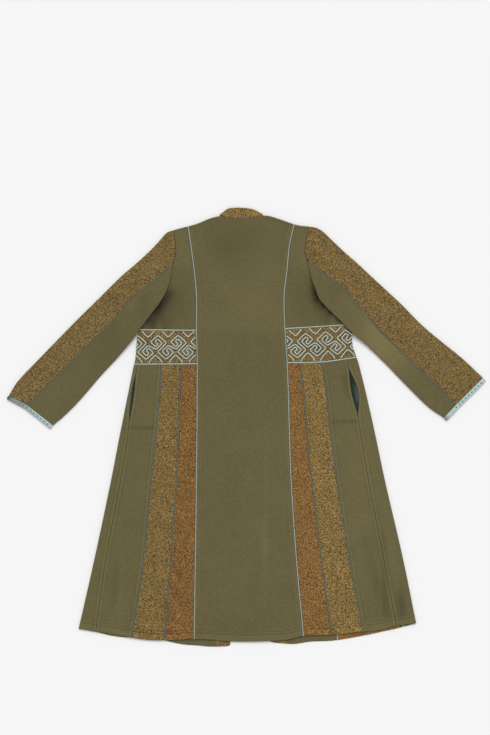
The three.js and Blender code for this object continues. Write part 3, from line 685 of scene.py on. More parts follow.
def buildLoops():
    # small round loops, with short dark worms where a warped noise crosses its middle
    tree, given, out = newGroup("boucleLoops", [
        ("Vector", vector, None), ("Loop Scale", number, 420), ("Worm Scale", number, 150),
        ("Cover", number, 0.07), ("Roughness", number, 0.95)], [*fieldOut, ("Fleck", number)])
    loops = addNode(tree, "ShaderNodeTexVoronoi", {}, Vector=given["Vector"], Scale=given["Loop Scale"])
    loop = between(tree, loops.outputs[0], 0.0, loopLook["reach"], 1.0, 0.0)
    warped = noise(tree, given["Vector"], given["Worm Scale"], 2.0, loopLook["warp"])
    away = maths(tree, "ABSOLUTE", maths(tree, "SUBTRACT", warped, 0.5))
    core = maths(tree, "MULTIPLY", given["Cover"], loopLook["wormCore"])
    worm = between(tree, away, core, given["Cover"], 1.0, 0.0)
    patchScale = maths(tree, "MULTIPLY", given["Worm Scale"], loopLook["patchScale"])
    patches = noise(tree, given["Vector"], patchScale, 1.0)
    fleck = maths(tree, "MULTIPLY", worm, between(tree, patches, loopLook["patchFrom"], loopLook["patchTo"]))
    wide = noise(tree, given["Vector"], loopLook["wideScale"])
    ground = timesPlus(tree, wide, loopLook["wide"], loopLook["wideBase"])
    feed(tree, out["Blend"], timesPlus(tree, loop, loopLook["loop"], ground))
    feed(tree, out["Fleck"], maths(tree, "MULTIPLY", fleck, loopLook["fleck"]))
    feed(tree, out["Height"], timesPlus(tree, fleck, loopLook["fleckHeight"], loop))
    feed(tree, out["Roughness"], timesPlus(tree, loop, loopLook["loopRough"], given["Roughness"]))
    return tree


twistLook = {"fuzzScale": 1500.0, "wideScale": 60.0, "ply": 0.45, "fuzz": 0.5, "fuzzBase": -0.1, "wide": 0.5,
             "wideBase": -0.2, "fuzzHeight": 0.4, "fuzzRough": 0.12}


def buildTwist():
    # plies that wind round a cord: the run's first part goes round it and the second along it
    tree, given, out = newGroup("cordTwist", [
        ("Run", vector, None), ("Vector", vector, None), ("Plies", number, 2), ("Pitch", number, 0.005),
        ("Roughness", number, 0.8)], fieldOut)
    parts = addNode(tree, "ShaderNodeSeparateXYZ", {})
    feed(tree, parts.inputs[0], given["Run"])
    turns = maths(tree, "SUBTRACT", parts.outputs[0], maths(tree, "DIVIDE", parts.outputs[1], given["Pitch"]))
    angle = maths(tree, "MULTIPLY", maths(tree, "MULTIPLY", turns, given["Plies"]), 2 * np.pi)
    ply = timesPlus(tree, maths(tree, "COSINE", angle), 0.5, 0.5)
    fuzz = noise(tree, given["Vector"], twistLook["fuzzScale"])
    wide = noise(tree, given["Vector"], twistLook["wideScale"])
    blend = timesPlus(tree, ply, twistLook["ply"],
                      timesPlus(tree, fuzz, twistLook["fuzz"], twistLook["fuzzBase"]))
    blend = maths(tree, "ADD", blend, timesPlus(tree, wide, twistLook["wide"], twistLook["wideBase"]))
    feed(tree, out["Blend"], blend)
    feed(tree, out["Height"], timesPlus(tree, fuzz, twistLook["fuzzHeight"], ply))
    feed(tree, out["Roughness"], timesPlus(tree, fuzz, twistLook["fuzzRough"], given["Roughness"]))
    return tree


shadeGroup, napGroup, loopGroup, twistGroup = buildShade(), buildNap(), buildLoops(), buildTwist()
bumpHeight, sheenRough, clothSpecular = 0.0005, 0.6, 0.2


def clothMaterial(name, plan):
    # one field of nap, loops or twist drives the colour, the roughness and the bump
    material = bpy.data.materials.new(name)
    material.use_nodes = True
    tree = material.node_tree
    shader = tree.nodes["Principled BSDF"]
    place = addNode(tree, "ShaderNodeTexCoord", {})
    tone = addNode(tree, "ShaderNodeAttribute", {"attribute_name": "tone"})
    if "loop" in plan:
        group = loopGroup
        sizes = {"Loop Scale": plan["loop"], "Worm Scale": plan["worm"], "Cover": plan["cover"]}
    elif "plies" in plan:
        group = twistGroup
        sizes = {"Run": place.outputs["UV"], "Plies": plan["plies"], "Pitch": plan["pitch"]}
    else:
        group, sizes = napGroup, {"Fibre Scale": plan["fibre"], "Mottle Scale": plan["mottle"]}
    field = tree.nodes.new("ShaderNodeGroup")
    field.node_tree = group
    for key, value in {**sizes, "Vector": place.outputs["Object"], "Roughness": plan["rough"]}.items():
        feed(tree, field.inputs[key], value)
    shade = tree.nodes.new("ShaderNodeGroup")
    shade.node_tree = shadeGroup
    feed(tree, shade.inputs["Dark"], (*plan["dark"], 1))
    feed(tree, shade.inputs["Light"], (*plan["light"], 1))
    feed(tree, shade.inputs["Fleck Colour"], (*plan.get("fleckColour", (0, 0, 0)), 1))
    feed(tree, shade.inputs["Blend"], field.outputs["Blend"])
    feed(tree, shade.inputs["Tone"], tone.outputs["Fac"])
    if "loop" in plan:
        feed(tree, shade.inputs["Fleck"], field.outputs["Fleck"])
    bump = addNode(tree, "ShaderNodeBump", {}, Strength=plan["bump"], Distance=bumpHeight,
                   Height=field.outputs["Height"])
    feed(tree, shader.inputs["Base Color"], shade.outputs["Color"])
    feed(tree, shader.inputs["Roughness"], field.outputs["Roughness"])
    feed(tree, shader.inputs["Normal"], bump.outputs["Normal"])
    shader.inputs["Sheen Weight"].default_value = plan["sheen"]
    shader.inputs["Sheen Roughness"].default_value = sheenRough
    shader.inputs["Specular IOR Level"].default_value = clothSpecular
    return material


materials = {name: clothMaterial(name, plan) for name, plan in finishes.items()}
print("materials:", len(materials))

# edges of a panel: how far it rounds, how high and how far in its turned allowance stands, its stitch lines
plainEdge = {"round": 1.5, "ridge": 0, "reach": 0, "stitches": ()}
braidEdge = {"round": 1.6, "ridge": 0.6, "reach": 12.5, "stitches": (6.0, 12.0)}
neckEdge = {"round": 1.5, "ridge": 0.3, "reach": 6, "stitches": (5.2,)}
allowanceEdge = {"round": 1.6, "ridge": 0.55, "reach": 9, "stitches": (8.6,)}
sideEdge = {"round": 1.8, "ridge": 0.6, "reach": 9, "stitches": (8.5,)}
hemEdge = {"round": 2.0, "ridge": 0.5, "reach": 26, "stitches": (17.0, 24.5)}
softEdge = {"round": 0.4, "ridge": 0, "reach": 0, "stitches": ()}
stitchEdge = {"depth": 0.7, "half": 0.9, "near": (-1.6, -0.8, 0, 0.8, 1.6)}
rimSteps, reachSteps, fewestCells = (0, 0.12, 0.4, 0.8, 1.3), (1, 2.4, 4), 3
loopNoise = {"fine": 2.6, "coarse": 4.7, "coarseShare": 0.6, "apart": 71}
ridgeFade = 3.5
settleRounds = 14
turnSteps = 12
frontPattern = 500  # moves the pattern of a turned front away from that of its back
drawDown = {"upper": 0.9, "under": 0.45, "late": 0.1, "thinnest": 0.5}


def nearEdge(edge):
    # fine steps in from an edge: round its rim, beside each line of stitches and past its allowance
    steps = [*rimSteps, edge["round"] + 0.2, 3.0]
    for stitch in edge["stitches"]:
        steps += [stitch + step for step in stitchEdge["near"]]
    if edge["reach"]:
        steps += [edge["reach"] + step for step in reachSteps]
    steps = np.array(sorted(steps))
    return steps[np.r_[True, np.diff(steps) > 0.1]]


def stepPlan(nearStart, nearEnd, length, cell):
    # steps across as a share and an offset: fine beside both edges, even in between
    start, end = nearEdge(nearStart), nearEdge(nearEnd)
    count = max(int(length / cell), fewestCells)
    even = np.arange(1, count) / count
    share = np.r_[np.zeros(len(start)), even, np.ones(len(end))]
    return share, np.r_[start, mix(start[-1], -end[-1], even), -end[::-1]]


def placeBetween(start, end, steps, sign):
    # places between two seams; where they are closer than the fine steps need, these draw together
    share, offset = steps
    shrink = np.minimum(np.abs(end - start) / (offset.max() - offset.min() + 1.0), 1)
    return mix(start, end, share) + sign * offset * shrink


def settle(placeX, top, bottom, rows, cols):
    # x from y and y from x by turns, until both lie on their lines
    share, offset = rows[0][:, None], rows[1][:, None]
    x = placeX(np.zeros((len(share), cols)))
    for _ in range(settleRounds):
        y = mix(top(x), bottom(x), share) - offset
        x = placeX(y)
    return x, y


def wallOver(distances, edges, rough, x, y, wall=cloth):
    # the cloth's wall, rounded down to a thin rim at its edges, with ridges, grooves and loops on it
    share, extra = 1.0, 0.0
    for distance, edge in zip(distances, edges):
        near = np.clip(distance / edge["round"], 0, 1)
        share = np.minimum(share, np.sqrt(1 - (1 - near) ** 2))
        extra = extra + edge["ridge"] * (1 - smoothStep(edge["reach"], edge["reach"] + ridgeFade, distance))
        for stitch in edge["stitches"]:
            extra = extra - stitchEdge["depth"] * bell((distance - stitch) / stitchEdge["half"])
    if rough:
        coarse = loopNoise["coarseShare"] * curlNoise(y + loopNoise["apart"], x, loopNoise["coarse"])
        extra = extra + rough * (curlNoise(x, y, loopNoise["fine"]) + coarse)
    least = min(rim, wall * 0.5)
    return least + (wall - least + extra) * share


def edgeDistances(plan, x, y):
    # distance in from the inner seam, the outer seam, the top and the bottom
    distances = [np.abs(x - plan["inner"](y)), np.abs(plan["outer"](y) - x), plan["top"](x) - y,
                 y - plan["bottom"](x)]
    return [np.maximum(distance, 0) for distance in distances]


def panelTop(plan, x, y):
    # height of a panel's upper face above its underside at any place of it
    return wallOver(edgeDistances(plan, x, y), plan["edges"], plan.get("rough", 0), x, y,
                    plan.get("wall", cloth))


def flatCloth(name, plan, finish, tone=nothing):
    # one layer between two seams: its underside on its rest, its upper face a wall above that
    cell, middle = plan["cell"], plan["middle"]
    inward, outward, atTop, atBottom = plan["edges"]
    width = float(plan["outer"](middle) - plan["inner"](middle))
    xMiddle = float(plan["inner"](middle) + plan["outer"](middle)) / 2
    height = float(plan["top"](xMiddle) - plan["bottom"](xMiddle))
    cols, rows = stepPlan(inward, outward, abs(width), cell), stepPlan(atTop, atBottom, height, cell)

    def placeX(y):
        return placeBetween(plan["inner"](y), plan["outer"](y), cols, np.sign(width))

    x, y = settle(placeX, plan["top"], plan["bottom"], rows, len(cols[0]))
    under = plan["under"](x, y)
    outer = np.stack([x, y, under + panelTop(plan, x, y)], -1)
    if plan.get("drawnDown"):  # the outer edge bends towards the layer below
        away = np.clip(np.abs(plan["outer"](y) - x), 0, foldRadius)
        bend = foldRadius - np.sqrt(np.maximum(foldRadius ** 2 - (foldRadius - away) ** 2, 0))
        outer[..., 2] -= bend * drawDown["upper"]
        under = under - np.maximum(bend - drawDown["late"], 0) * drawDown["under"]
        under = np.minimum(under, outer[..., 2] - drawDown["thinnest"])
    inner = np.stack([x, y, under], -1)
    shade = tone(x, y) + edgeLightAndShade(edgeDistances(plan, x, y), plan["edges"])
    part = shellPart(outer, inner, np.stack([x, y], -1) * toMetres)
    piece = makePiece(f"{name}_cloth", part, finish, [name], np.maximum(shade, seamLightAndShade["darkest"]))


def turnedCloth(name, plan, finish, tone=nothing):
    # a run on the back, a half round turn about the coat's side and a run on the front
    side, cell, middle = plan["side"], plan["cell"], plan["middle"]
    sign = side["sign"]
    inward, outward, atTop, atBottom = plan["edges"]
    centre = beside(side["fold"], -sign * foldRadius)
    backSeam, frontSeam = plan["backSeam"], plan["frontSeam"]
    backWidth, frontWidth = (abs(float(centre(middle) - seam(middle))) for seam in (backSeam, frontSeam))
    back = stepPlan(inward, softEdge, backWidth, cell)
    front = stepPlan(softEdge, outward, frontWidth, cell * plan.get("frontCoarse", 1))
    turns = np.linspace(0, np.pi, turnSteps + 1)[1:-1]
    turn = np.r_[np.zeros(len(back[0])), turns, np.full(len(front[0]), np.pi)]
    parts = [len(back[0]), len(turn) - len(front[0])]
    onFront = np.arange(len(turn)) >= parts[1]
    backBottom = plan["bottom"]
    frontBottom = plan.get("frontBottom", backBottom)

    def placeX(y):
        first, turned, last = np.split(y, parts, axis=1)
        onBack = placeBetween(backSeam(first), centre(first), back, sign)
        under = placeBetween(centre(last), frontSeam(last), front, -sign)
        return np.concatenate([onBack, centre(turned), under], axis=1)

    def bottom(x):
        return np.where(onFront, frontBottom(x), backBottom(x))

    rows = stepPlan(atTop, atBottom, float(plan["top"](centre(middle)) - backBottom(centre(middle))), cell)
    x, y = settle(placeX, plan["top"], bottom, rows, len(turn))
    inFromCentre = np.abs(x - centre(y))
    fromBack = np.where(turn == 0, np.abs(x - backSeam(y)),
                        np.abs(centre(y) - backSeam(y)) + turn * foldRadius + onFront * inFromCentre)
    fromFront = np.where(onFront, np.abs(x - frontSeam(y)),
                         np.abs(centre(y) - frontSeam(y)) + (np.pi - turn) * foldRadius + inFromCentre)
    distances = [fromBack, fromFront, np.maximum(plan["top"](x) - y, 0), np.maximum(y - bottom(x), 0)]
    patternX = x * np.cos(turn) + frontPattern * onFront
    wall = wallOver(distances, plan["edges"], plan.get("rough", 0), patternX, y)
    wall = mix(wall, np.minimum(wall, cloth - plan.get("frontThinner", 0)), roundShare(turn))
    lift = np.where(turn == 0, backRise(x, y), 0)

    def face(size):
        return np.stack([x + sign * size * np.sin(turn), y, foldRadius + size * np.cos(turn) + lift], -1)

    outer, inner = face(foldInside + wall), face(foldInside)
    unrolled = np.where(onFront, 2 * np.abs(centre(y)) - np.abs(x) + halfTurn, np.abs(x) + turn * foldRadius)
    part = shellPart(outer, inner, np.stack([unrolled, y], -1) * toMetres)
    shade = tone(x, y) * (1 - roundShare(turn)) + edgeLightAndShade(distances, plan["edges"])
    piece = makePiece(f"{name}_cloth", part, finish, [name], shade)


gapePower = 1.3


def lipGap(side, reach, y):
    # how far a pocket slit's lip gapes: a power of a half sine down the slit
    slit = side["slit"]
    share = np.clip((slit["top"] - y) / (slit["top"] - slit["bottom"]), 0, 1)
    return halfGap + reach * np.sin(share * np.pi) ** gapePower


def onBackLayer(x, y):
    # underside of the back layer
    return backUnder + backRise(x, y)


def bodyEdge(side):
    # the armhole down to the underarm and the turned side below it
    return lambda y: np.where(y > side["underarm"], side["armholeLine"](y), side["fold"](y))


threadForm = {"sides": 4, "shoulder": 0.5, "thick": 0.9, "sunk": 0.35}
threadPlan = {"pitch": 3.6, "long": 2.7, "thick": 0.7}
pocketThread = {"pitch": 3.9, "long": 3.4, "thick": 1.0}
stitchLine = {"step": 4.0, "acrossStep": 2.0, "lift": 0.12, "past": 80}
stitchParts = []


def topstitch(path, plan):
    # short threads, each a slim spindle sunk a little into the cloth at both ends
    length = lengthAlong(path)
    count = max(int(length[-1] / plan["pitch"]), 1)
    at = (np.arange(count) + 0.5) * length[-1] / count

    def pointAt(where):
        return np.stack([np.interp(where, length, path[:, i]) for i in range(3)], -1)

    centre = pointAt(at)
    along = unit(pointAt(at + 0.5) - pointAt(at - 0.5))
    across = np.cross(upward, along)
    rising = np.cross(along, across)
    if "uneven" in plan:  # hand stitches differ in length and stray from their line
        chance = np.random.default_rng(plan["seed"]).uniform(-1, 1, (2, count, 1))
        centre = centre + across * chance[0] * plan["stray"]
        stretch = chance[1] * plan["uneven"]
        along, across = along * (1 + stretch), across * (1 - stretch / 2)
    half, thick, girth = plan["long"] / 2, plan["thick"], threadForm["thick"]
    tip, shoulder, corners = -threadForm["sunk"] * thick, threadForm["shoulder"], threadForm["sides"]
    turn = np.arange(corners) / corners * 2 * np.pi + np.pi / corners
    template = np.array([(-half, 0, tip)] + [
        (share * half, np.cos(a) * girth * thick / 2, np.sin(a) * girth / 2 * thick)
        for share in (-shoulder, shoulder) for a in turn] + [(half, 0, tip)])
    points = centre[:, None] + along[:, None] * template[:, :1] + across[:, None] * template[:, 1:2]
    points = points + rising[:, None] * template[:, 2:]
    size = len(template)
    a = np.arange(corners) + 1
    b = np.roll(a, -1)
    quads = np.stack([a, b, b + corners, a + corners], -1)
    tips = [np.stack([b, a, 0 * a], -1), np.stack([a + corners, b + corners, 0 * a + size - 1], -1)]
    starts = np.arange(count)[:, None, None] * size
    return {
        "points": points.reshape(-1, 3),
        "wrap": np.arange(count * size),
        "run": np.tile(np.stack([template[:, 1], template[:, 0] * toMetres], -1), (count, 1)),
        "quads": (quads[None] + starts).reshape(-1, 4),
        "tris": (np.concatenate(tips)[None] + starts).reshape(-1, 3),
    }


def layStitches(plan, x, y, thread=threadPlan):
    # threads that lie on a panel along a line of places
    z = plan["under"](x, y) + panelTop(plan, x, y) + stitchLine["lift"]
    stitchParts.append(topstitch(np.stack([x, y, z], -1), thread))


def stitchDown(plan, edge, offset, top, bottom):
    # a line of stitches beside a panel's inner or outer seam
    y = np.arange(bottom, top, stitchLine["step"])[::-1]
    layStitches(plan, plan[edge](y) + offset, y)


def stitchAcross(plan, edge, offset, margin=1.5, thread=threadPlan):
    # a line of stitches along a panel's top or hem
    ends = [float(plan[name](plan[edge](0.0))) for name in ("inner", "outer")]
    x = np.arange(min(ends) - stitchLine["past"], max(ends) + stitchLine["past"], stitchLine["acrossStep"])
    y = plan[edge](x) + (offset if edge == "bottom" else -offset)
    inner, outer = plan["inner"](y), plan["outer"](y)
    inside = (x > np.minimum(inner, outer) + margin) & (x < np.maximum(inner, outer) - margin)
    layStitches(plan, x[inside], y[inside], thread)


def stitchHem(plan):
    # the lines of stitches that hold up the hem
    for offset in hemEdge["stitches"]:
        stitchAcross(plan, "bottom", offset)


feltCell, boucleCell, hiddenCell = 6.5, 3.0, 9.0
bandCorner, bandHemAt = 6.0, -560.0
boucleRough = 0.3
plainEdges = [plainEdge] * 4
backLayer = {"under": onBackLayer, "cell": feltCell}
hiddenLayer = {"under": nothing, "cell": hiddenCell, "edges": plainEdges}
hiddenBoucle = {**hiddenLayer, "cell": 7, "rough": boucleRough}
# the strips' hem grooves get deeper painted shade
backStrip = {"under": onBackLayer, "cell": boucleCell, "rough": boucleRough, "middle": -100,
             "bottom": backHem, "edges": [plainEdge, plainEdge, plainEdge, {**hemEdge, "dark": 1.8}]}
frontStrip = {**hiddenBoucle, "middle": -100, "bottom": frontHem}
stripSeams = {"back": ("princess", "rust", "green"), "front": ("frontPrincess", "frontRust", "frontGreen")}

# back centre
left, right = sides["left"], sides["right"]
backCentre = {
    **backLayer, "inner": beside(left["princess"], pastBraid), "outer": beside(right["princess"], -pastBraid),
    "top": topOutline, "bottom": backHem, "edges": [braidEdge, braidEdge, neckEdge, hemEdge], "middle": 0,
}
braidStitchRun = {"leftTop": 518, "rightTop": 522, "bottom": -530}
flatCloth("back_centre", backCentre, "greenFelt", napAndShadeTone)
for offset in braidEdge["stitches"]:
    stitchDown(backCentre, "inner", offset, braidStitchRun["leftTop"], braidStitchRun["bottom"])
    stitchDown(backCentre, "outer", -offset, braidStitchRun["rightTop"], braidStitchRun["bottom"])
braidStitches = len(stitchParts)
stitchAcross(backCentre, "top", neckEdge["stitches"][0], 3)
stitchHem(backCentre)
print("back centre made")

seamStitchRun = {"level": 150, "belowTop": 4, "inner": -545, "outer": -535, "front": -520, "pastFold": 30,
                 "beforeFold": 0.5}
bagLight = {"high": 1.5, "low": -0.7, "from": -0.5, "to": 1.0, "below": 10, "half": 34}


def makeBody(name, side):
    # every flat or turned piece of one side, from the shoulder to the hem, and its stitches
    out, slit = side["sign"], side["slit"]
    skirtTop = beside(side["bandBottom"], -pastBraid)

    def away(seam, gap):
        return beside(side[seam], out * gap)

    upper = {"outer": bodyEdge(side), "top": topOutline, "bottom": beside(side["bandTop"], pastBraid),
             "middle": 400}
    backUpper = {**backLayer, **upper, "inner": away("princess", pastBraid),
                 "edges": [plainEdge, plainEdge, neckEdge, plainEdge], "drawnDown": True}
    flatCloth(f"back_side_upper_{name}", backUpper, "greenFelt", napAndShadeTone)
    frontUpper = {**hiddenLayer, **upper, "inner": away("frontPrincess", pastBraid)}
    flatCloth(f"front_side_upper_{name}", frontUpper, "greenFelt")

    for layer, strip in (("back", backStrip), ("front", frontStrip)):
        first, second, third = stripSeams[layer]
        for label, inner, gap, outer in (("rust", first, pastBraid, second),
                                         ("mustard", second, pastPiping, third)):
            plan = {**strip, "inner": away(inner, gap), "outer": away(outer, -pastPiping), "top": skirtTop}
            flatCloth(f"{layer}_{label}_strip_{name}", plan, f"{label}Boucle", stripTone)
            if layer == "back":
                stitchHem(plan)

    backSkirt = {
        **backLayer, "inner": away("green", pastPiping),
        "outer": lambda y: side["side"](y) - out * lipGap(side, slit["backLip"], y), "top": skirtTop,
        "bottom": backHem, "edges": [allowanceEdge, sideEdge, plainEdge, hemEdge], "middle": -100,
    }
    flatCloth(f"back_side_skirt_{name}", backSkirt, "greenFelt", napAndShadeTone)
    frontSkirt = {
        "side": side, "backSeam": lambda y: side["side"](y) + out * lipGap(side, slit["frontLip"], y),
        "frontSeam": away("frontGreen", pastPiping), "top": skirtTop, "bottom": backHem,
        "frontBottom": frontHem, "edges": [sideEdge, plainEdge, plainEdge, hemEdge], "cell": feltCell,
        "middle": -100, "frontCoarse": 2,
    }
    turnedCloth(f"front_side_skirt_{name}", frontSkirt, "greenFelt", napAndShadeTone)
    top = float(side["bandBottom"](side["side"](seamStitchRun["level"]))) - seamStitchRun["belowTop"]
    stitchDown(backSkirt, "inner", out * allowanceEdge["stitches"][0], top, seamStitchRun["inner"])
    stitchDown(backSkirt, "outer", -out * sideEdge["stitches"][0], top, seamStitchRun["outer"])
    frontRun = {**frontSkirt, "inner": frontSkirt["backSeam"], "under": onBackLayer,
                "outer": away("fold", seamStitchRun["pastFold"])}
    y = np.arange(seamStitchRun["front"], top, stitchLine["step"])[::-1]
    x = frontSkirt["backSeam"](y) + out * sideEdge["stitches"][0]
    keep = np.abs(x) < np.abs(side["fold"](y)) - foldRadius - seamStitchRun["beforeFold"]
    layStitches(frontRun, x[keep], y[keep])
    stitchHem(backSkirt)

    bag = {
        **hiddenLayer, "inner": away("side", -bagDepth), "outer": away("side", slit["bagReach"]),
        "top": level(slit["top"] + bagOver), "bottom": level(slit["bottom"] - bagOver),
        "under": lambda x, y: np.full_like(x, bagUnder), "cell": 2.5, "middle": 90, "wall": bagCloth,
    }
    slitMiddle = (slit["top"] + slit["bottom"]) / 2

    def bagTone(x, y):
        # the lining lies in the back lip's shadow, and shows most in the middle of the slit
        across = out * (x - side["side"](y)) / slit["frontLip"]
        towardsFront = smoothStep(bagLight["from"], bagLight["to"], across)
        middle = bell((y - slitMiddle + bagLight["below"]) / bagLight["half"])
        return bagLight["high"] * towardsFront * middle + bagLight["low"]

    flatCloth(f"pocket_bag_{name}", bag, "pocketLining", bagTone)

    panel = {**hiddenLayer, "inner": away("bandSeam", halfGap), "outer": away("frontPrincess", -pastBraid),
             "top": topOutline, "bottom": frontHem, "middle": 0}
    flatCloth(f"front_panel_{name}", panel, "greenFelt")

    def roundedHem(x):
        # the band's free corner is turned round
        into = np.clip(np.abs(x - side["bandEdge"](bandHemAt)), 0, bandCorner)
        return frontHem(x) + bandCorner - np.sqrt(bandCorner ** 2 - (bandCorner - into) ** 2)

    band = {**hiddenBoucle, "inner": side["bandEdge"], "outer": away("bandSeam", -halfGap),
            "top": level(collarDepth - seamGap), "bottom": roundedHem, "middle": 0}
    flatCloth(f"front_band_{name}", band, "mustardBoucle")


for name, side in sides.items():
    makeBody(name, side)
    print("body made,", name)

braidPlan = {"sides": 10, "plies": 2, "pitch": 5.6, "twist": 0.16, "step": 0.95, "slim": 0.88}
pipingPlan = {"sides": 8, "plies": 2, "pitch": 4.4, "twist": 0.12, "step": 1.0}
hiddenPlan = {"sides": 8, "plies": 2, "pitch": 5.6, "twist": 0.0, "step": 6.0}
braidCord = {"plan": braidPlan, "start": 520.0, "half": braidWidth / 2, "proud": braidProud,
             "finish": "paleCord"}
pipingCord = {"plan": pipingPlan, "start": 160.0, "half": pipingWidth / 2, "proud": pipingProud,
              "finish": "greyPiping"}
cordHemAt = -550.0


def seamCord(name, line, top, layer, cord):
    # a twisted cord that fills a seam from its top to the hem; on the front it is hidden and plain
    onBack = layer == "back"
    hem, plan = (backHem, cord["plan"]) if onBack else (frontHem, hiddenPlan)
    tall = cloth + (cord["proud"] if onBack else 0)
    y = evenSteps(float(top(line(cord["start"]))), float(hem(line(cordHemAt))), plan["step"])
    x = line(y)
    z = (onBackLayer(x, y) if onBack else 0) + tall / 2 + 0 * x
    part = tubePart(np.stack([x, y, z], -1), upward, cord["half"] * plan.get("slim", 1), tall / 2, plan)
    makePiece(f"{name}_cord", part, cord["finish"], [name])


for name, side in sides.items():
    skirtTop = beside(side["bandBottom"], -pastBraid)
    for layer in ("back", "front"):
        seamCord(f"{layer}_princess_braid_{name}", side[stripSeams[layer][0]], topOutline, layer, braidCord)
    for layer in ("back", "front"):
        for title, seam in zip(("rust", "green"), stripSeams[layer][1:]):
            seamCord(f"{layer}_piping_{title}_{name}", side[seam], skirtTop, layer, pipingCord)
print("cords made")


def onSide(side, along, y, radius):
    # place on the coat's side: along runs out over the back, round the fold and in over the front
    centre = np.abs(side["fold"](y)) - foldRadius
    turn = np.clip((along - centre) / foldRadius, 0, np.pi)
    past = np.maximum(along - centre - halfTurn, 0)
    flat = np.minimum(along, centre) - past
    x = side["sign"] * (flat + radius(turn) * np.sin(turn))
    lift = np.where(turn == 0, backRise(side["sign"] * flat, y), 0)
    z = foldRadius + radius(turn) * np.cos(turn) + lift
    out = np.stack([side["sign"] * np.sin(turn), 0 * turn, np.cos(turn)], -1)
    return np.stack([x, y, z], -1), out, turn


# interlocked spiral fret: one cord on a lattice turned by 45 degrees, in lattice steps; half of a unit
# is charted and the other half is the same turned by half a turn about the unit's middle
fret = {
    "step": 10.4, "unit": 5, "repeats": (-2, 7), "levelFrom": 290,
    "half": [(-1, 2), (-1, -1), (-3.25, -1), (-3.25, 0.25), (-1.75, 0.25), (-1.75, 1.5), (-4.25, 1.5),
             (-4, -2), (0, -2.25)],
    "upper": [(-4, -7.2), (-4, -4), (-1, -4), (-1, -7.2)],
    "lower": [(1, 8), (0.25, 6.25), (0.25, 3.5), (2.75, 3.5), (5, 4)],
    "round": 3.9, "edgeIn": 0.7, "shortest": 5,
    "halfWide": 1.38, "halfHigh": 1.15, "frontHigh": 0.5, "sink": 0.85, "frontSink": 0.6,
    # shade, shadeHalf, shadeAt and shadeReach: the painted shadow on the ground beside the cords
    "shade": -0.30, "shadeHalf": 1.3, "shadeAt": 210, "shadeReach": 110,
    "middles": {"left": [(167.3, 208), (218.7, 207.5), (271, 207)],
                "right": [(142.9, 212), (195.6, 217), (246.9, 221)]},
}
embroideryPlan = {"sides": 7, "plies": 2, "pitch": 3.6, "twist": 0.1, "step": 1.0}
bandCord = {"level": 200.0, "frontWide": 1.3, "frontHigh": 0.95, "frontLift": 0.1}
bandThinner, bandRough = 0.65, boucleRough * 0.8


def roundedPath(corners, radius, fine=7):
    # straight runs joined at each corner by a curve that leaves and arrives at a radius from it
    before, after = corners[:-2] - corners[1:-1], corners[2:] - corners[1:-1]
    reachBefore, reachAfter = (np.minimum(radius, np.linalg.norm(run, axis=1) / 2)[:, None]
                               for run in (before, after))
    start, end = corners[1:-1] + unit(before) * reachBefore, corners[1:-1] + unit(after) * reachAfter
    t = np.linspace(0, 1, fine)[None, :, None]
    curve = start[:, None] * (1 - t) ** 2 + corners[1:-1, None] * 2 * t * (1 - t) + end[:, None] * t ** 2
    return np.concatenate([corners[:1], curve.reshape(-1, 2), corners[-1:]])


def evenly(path, step):
    # the same path with points an even step apart
    length = lengthAlong(path)
    at = evenSteps(0, length[-1], step)
    return np.stack([np.interp(at, length, path[:, i]) for i in range(2)], -1)


def embroideryRadius(turn):
    # proud of the cloth on the back, sunk into it on the hidden front
    return mix(foldRadius + fret["sink"], foldRadius - fret["frontSink"], roundShare(turn))


def bandCordRadius(turn):
    # middle of the cord's height, which falls to the cloth's own on the hidden front
    return mix(foldInside + (cloth + braidProud) / 2, foldInside + cloth / 2 + bandCord["frontLift"],
               roundShare(turn))


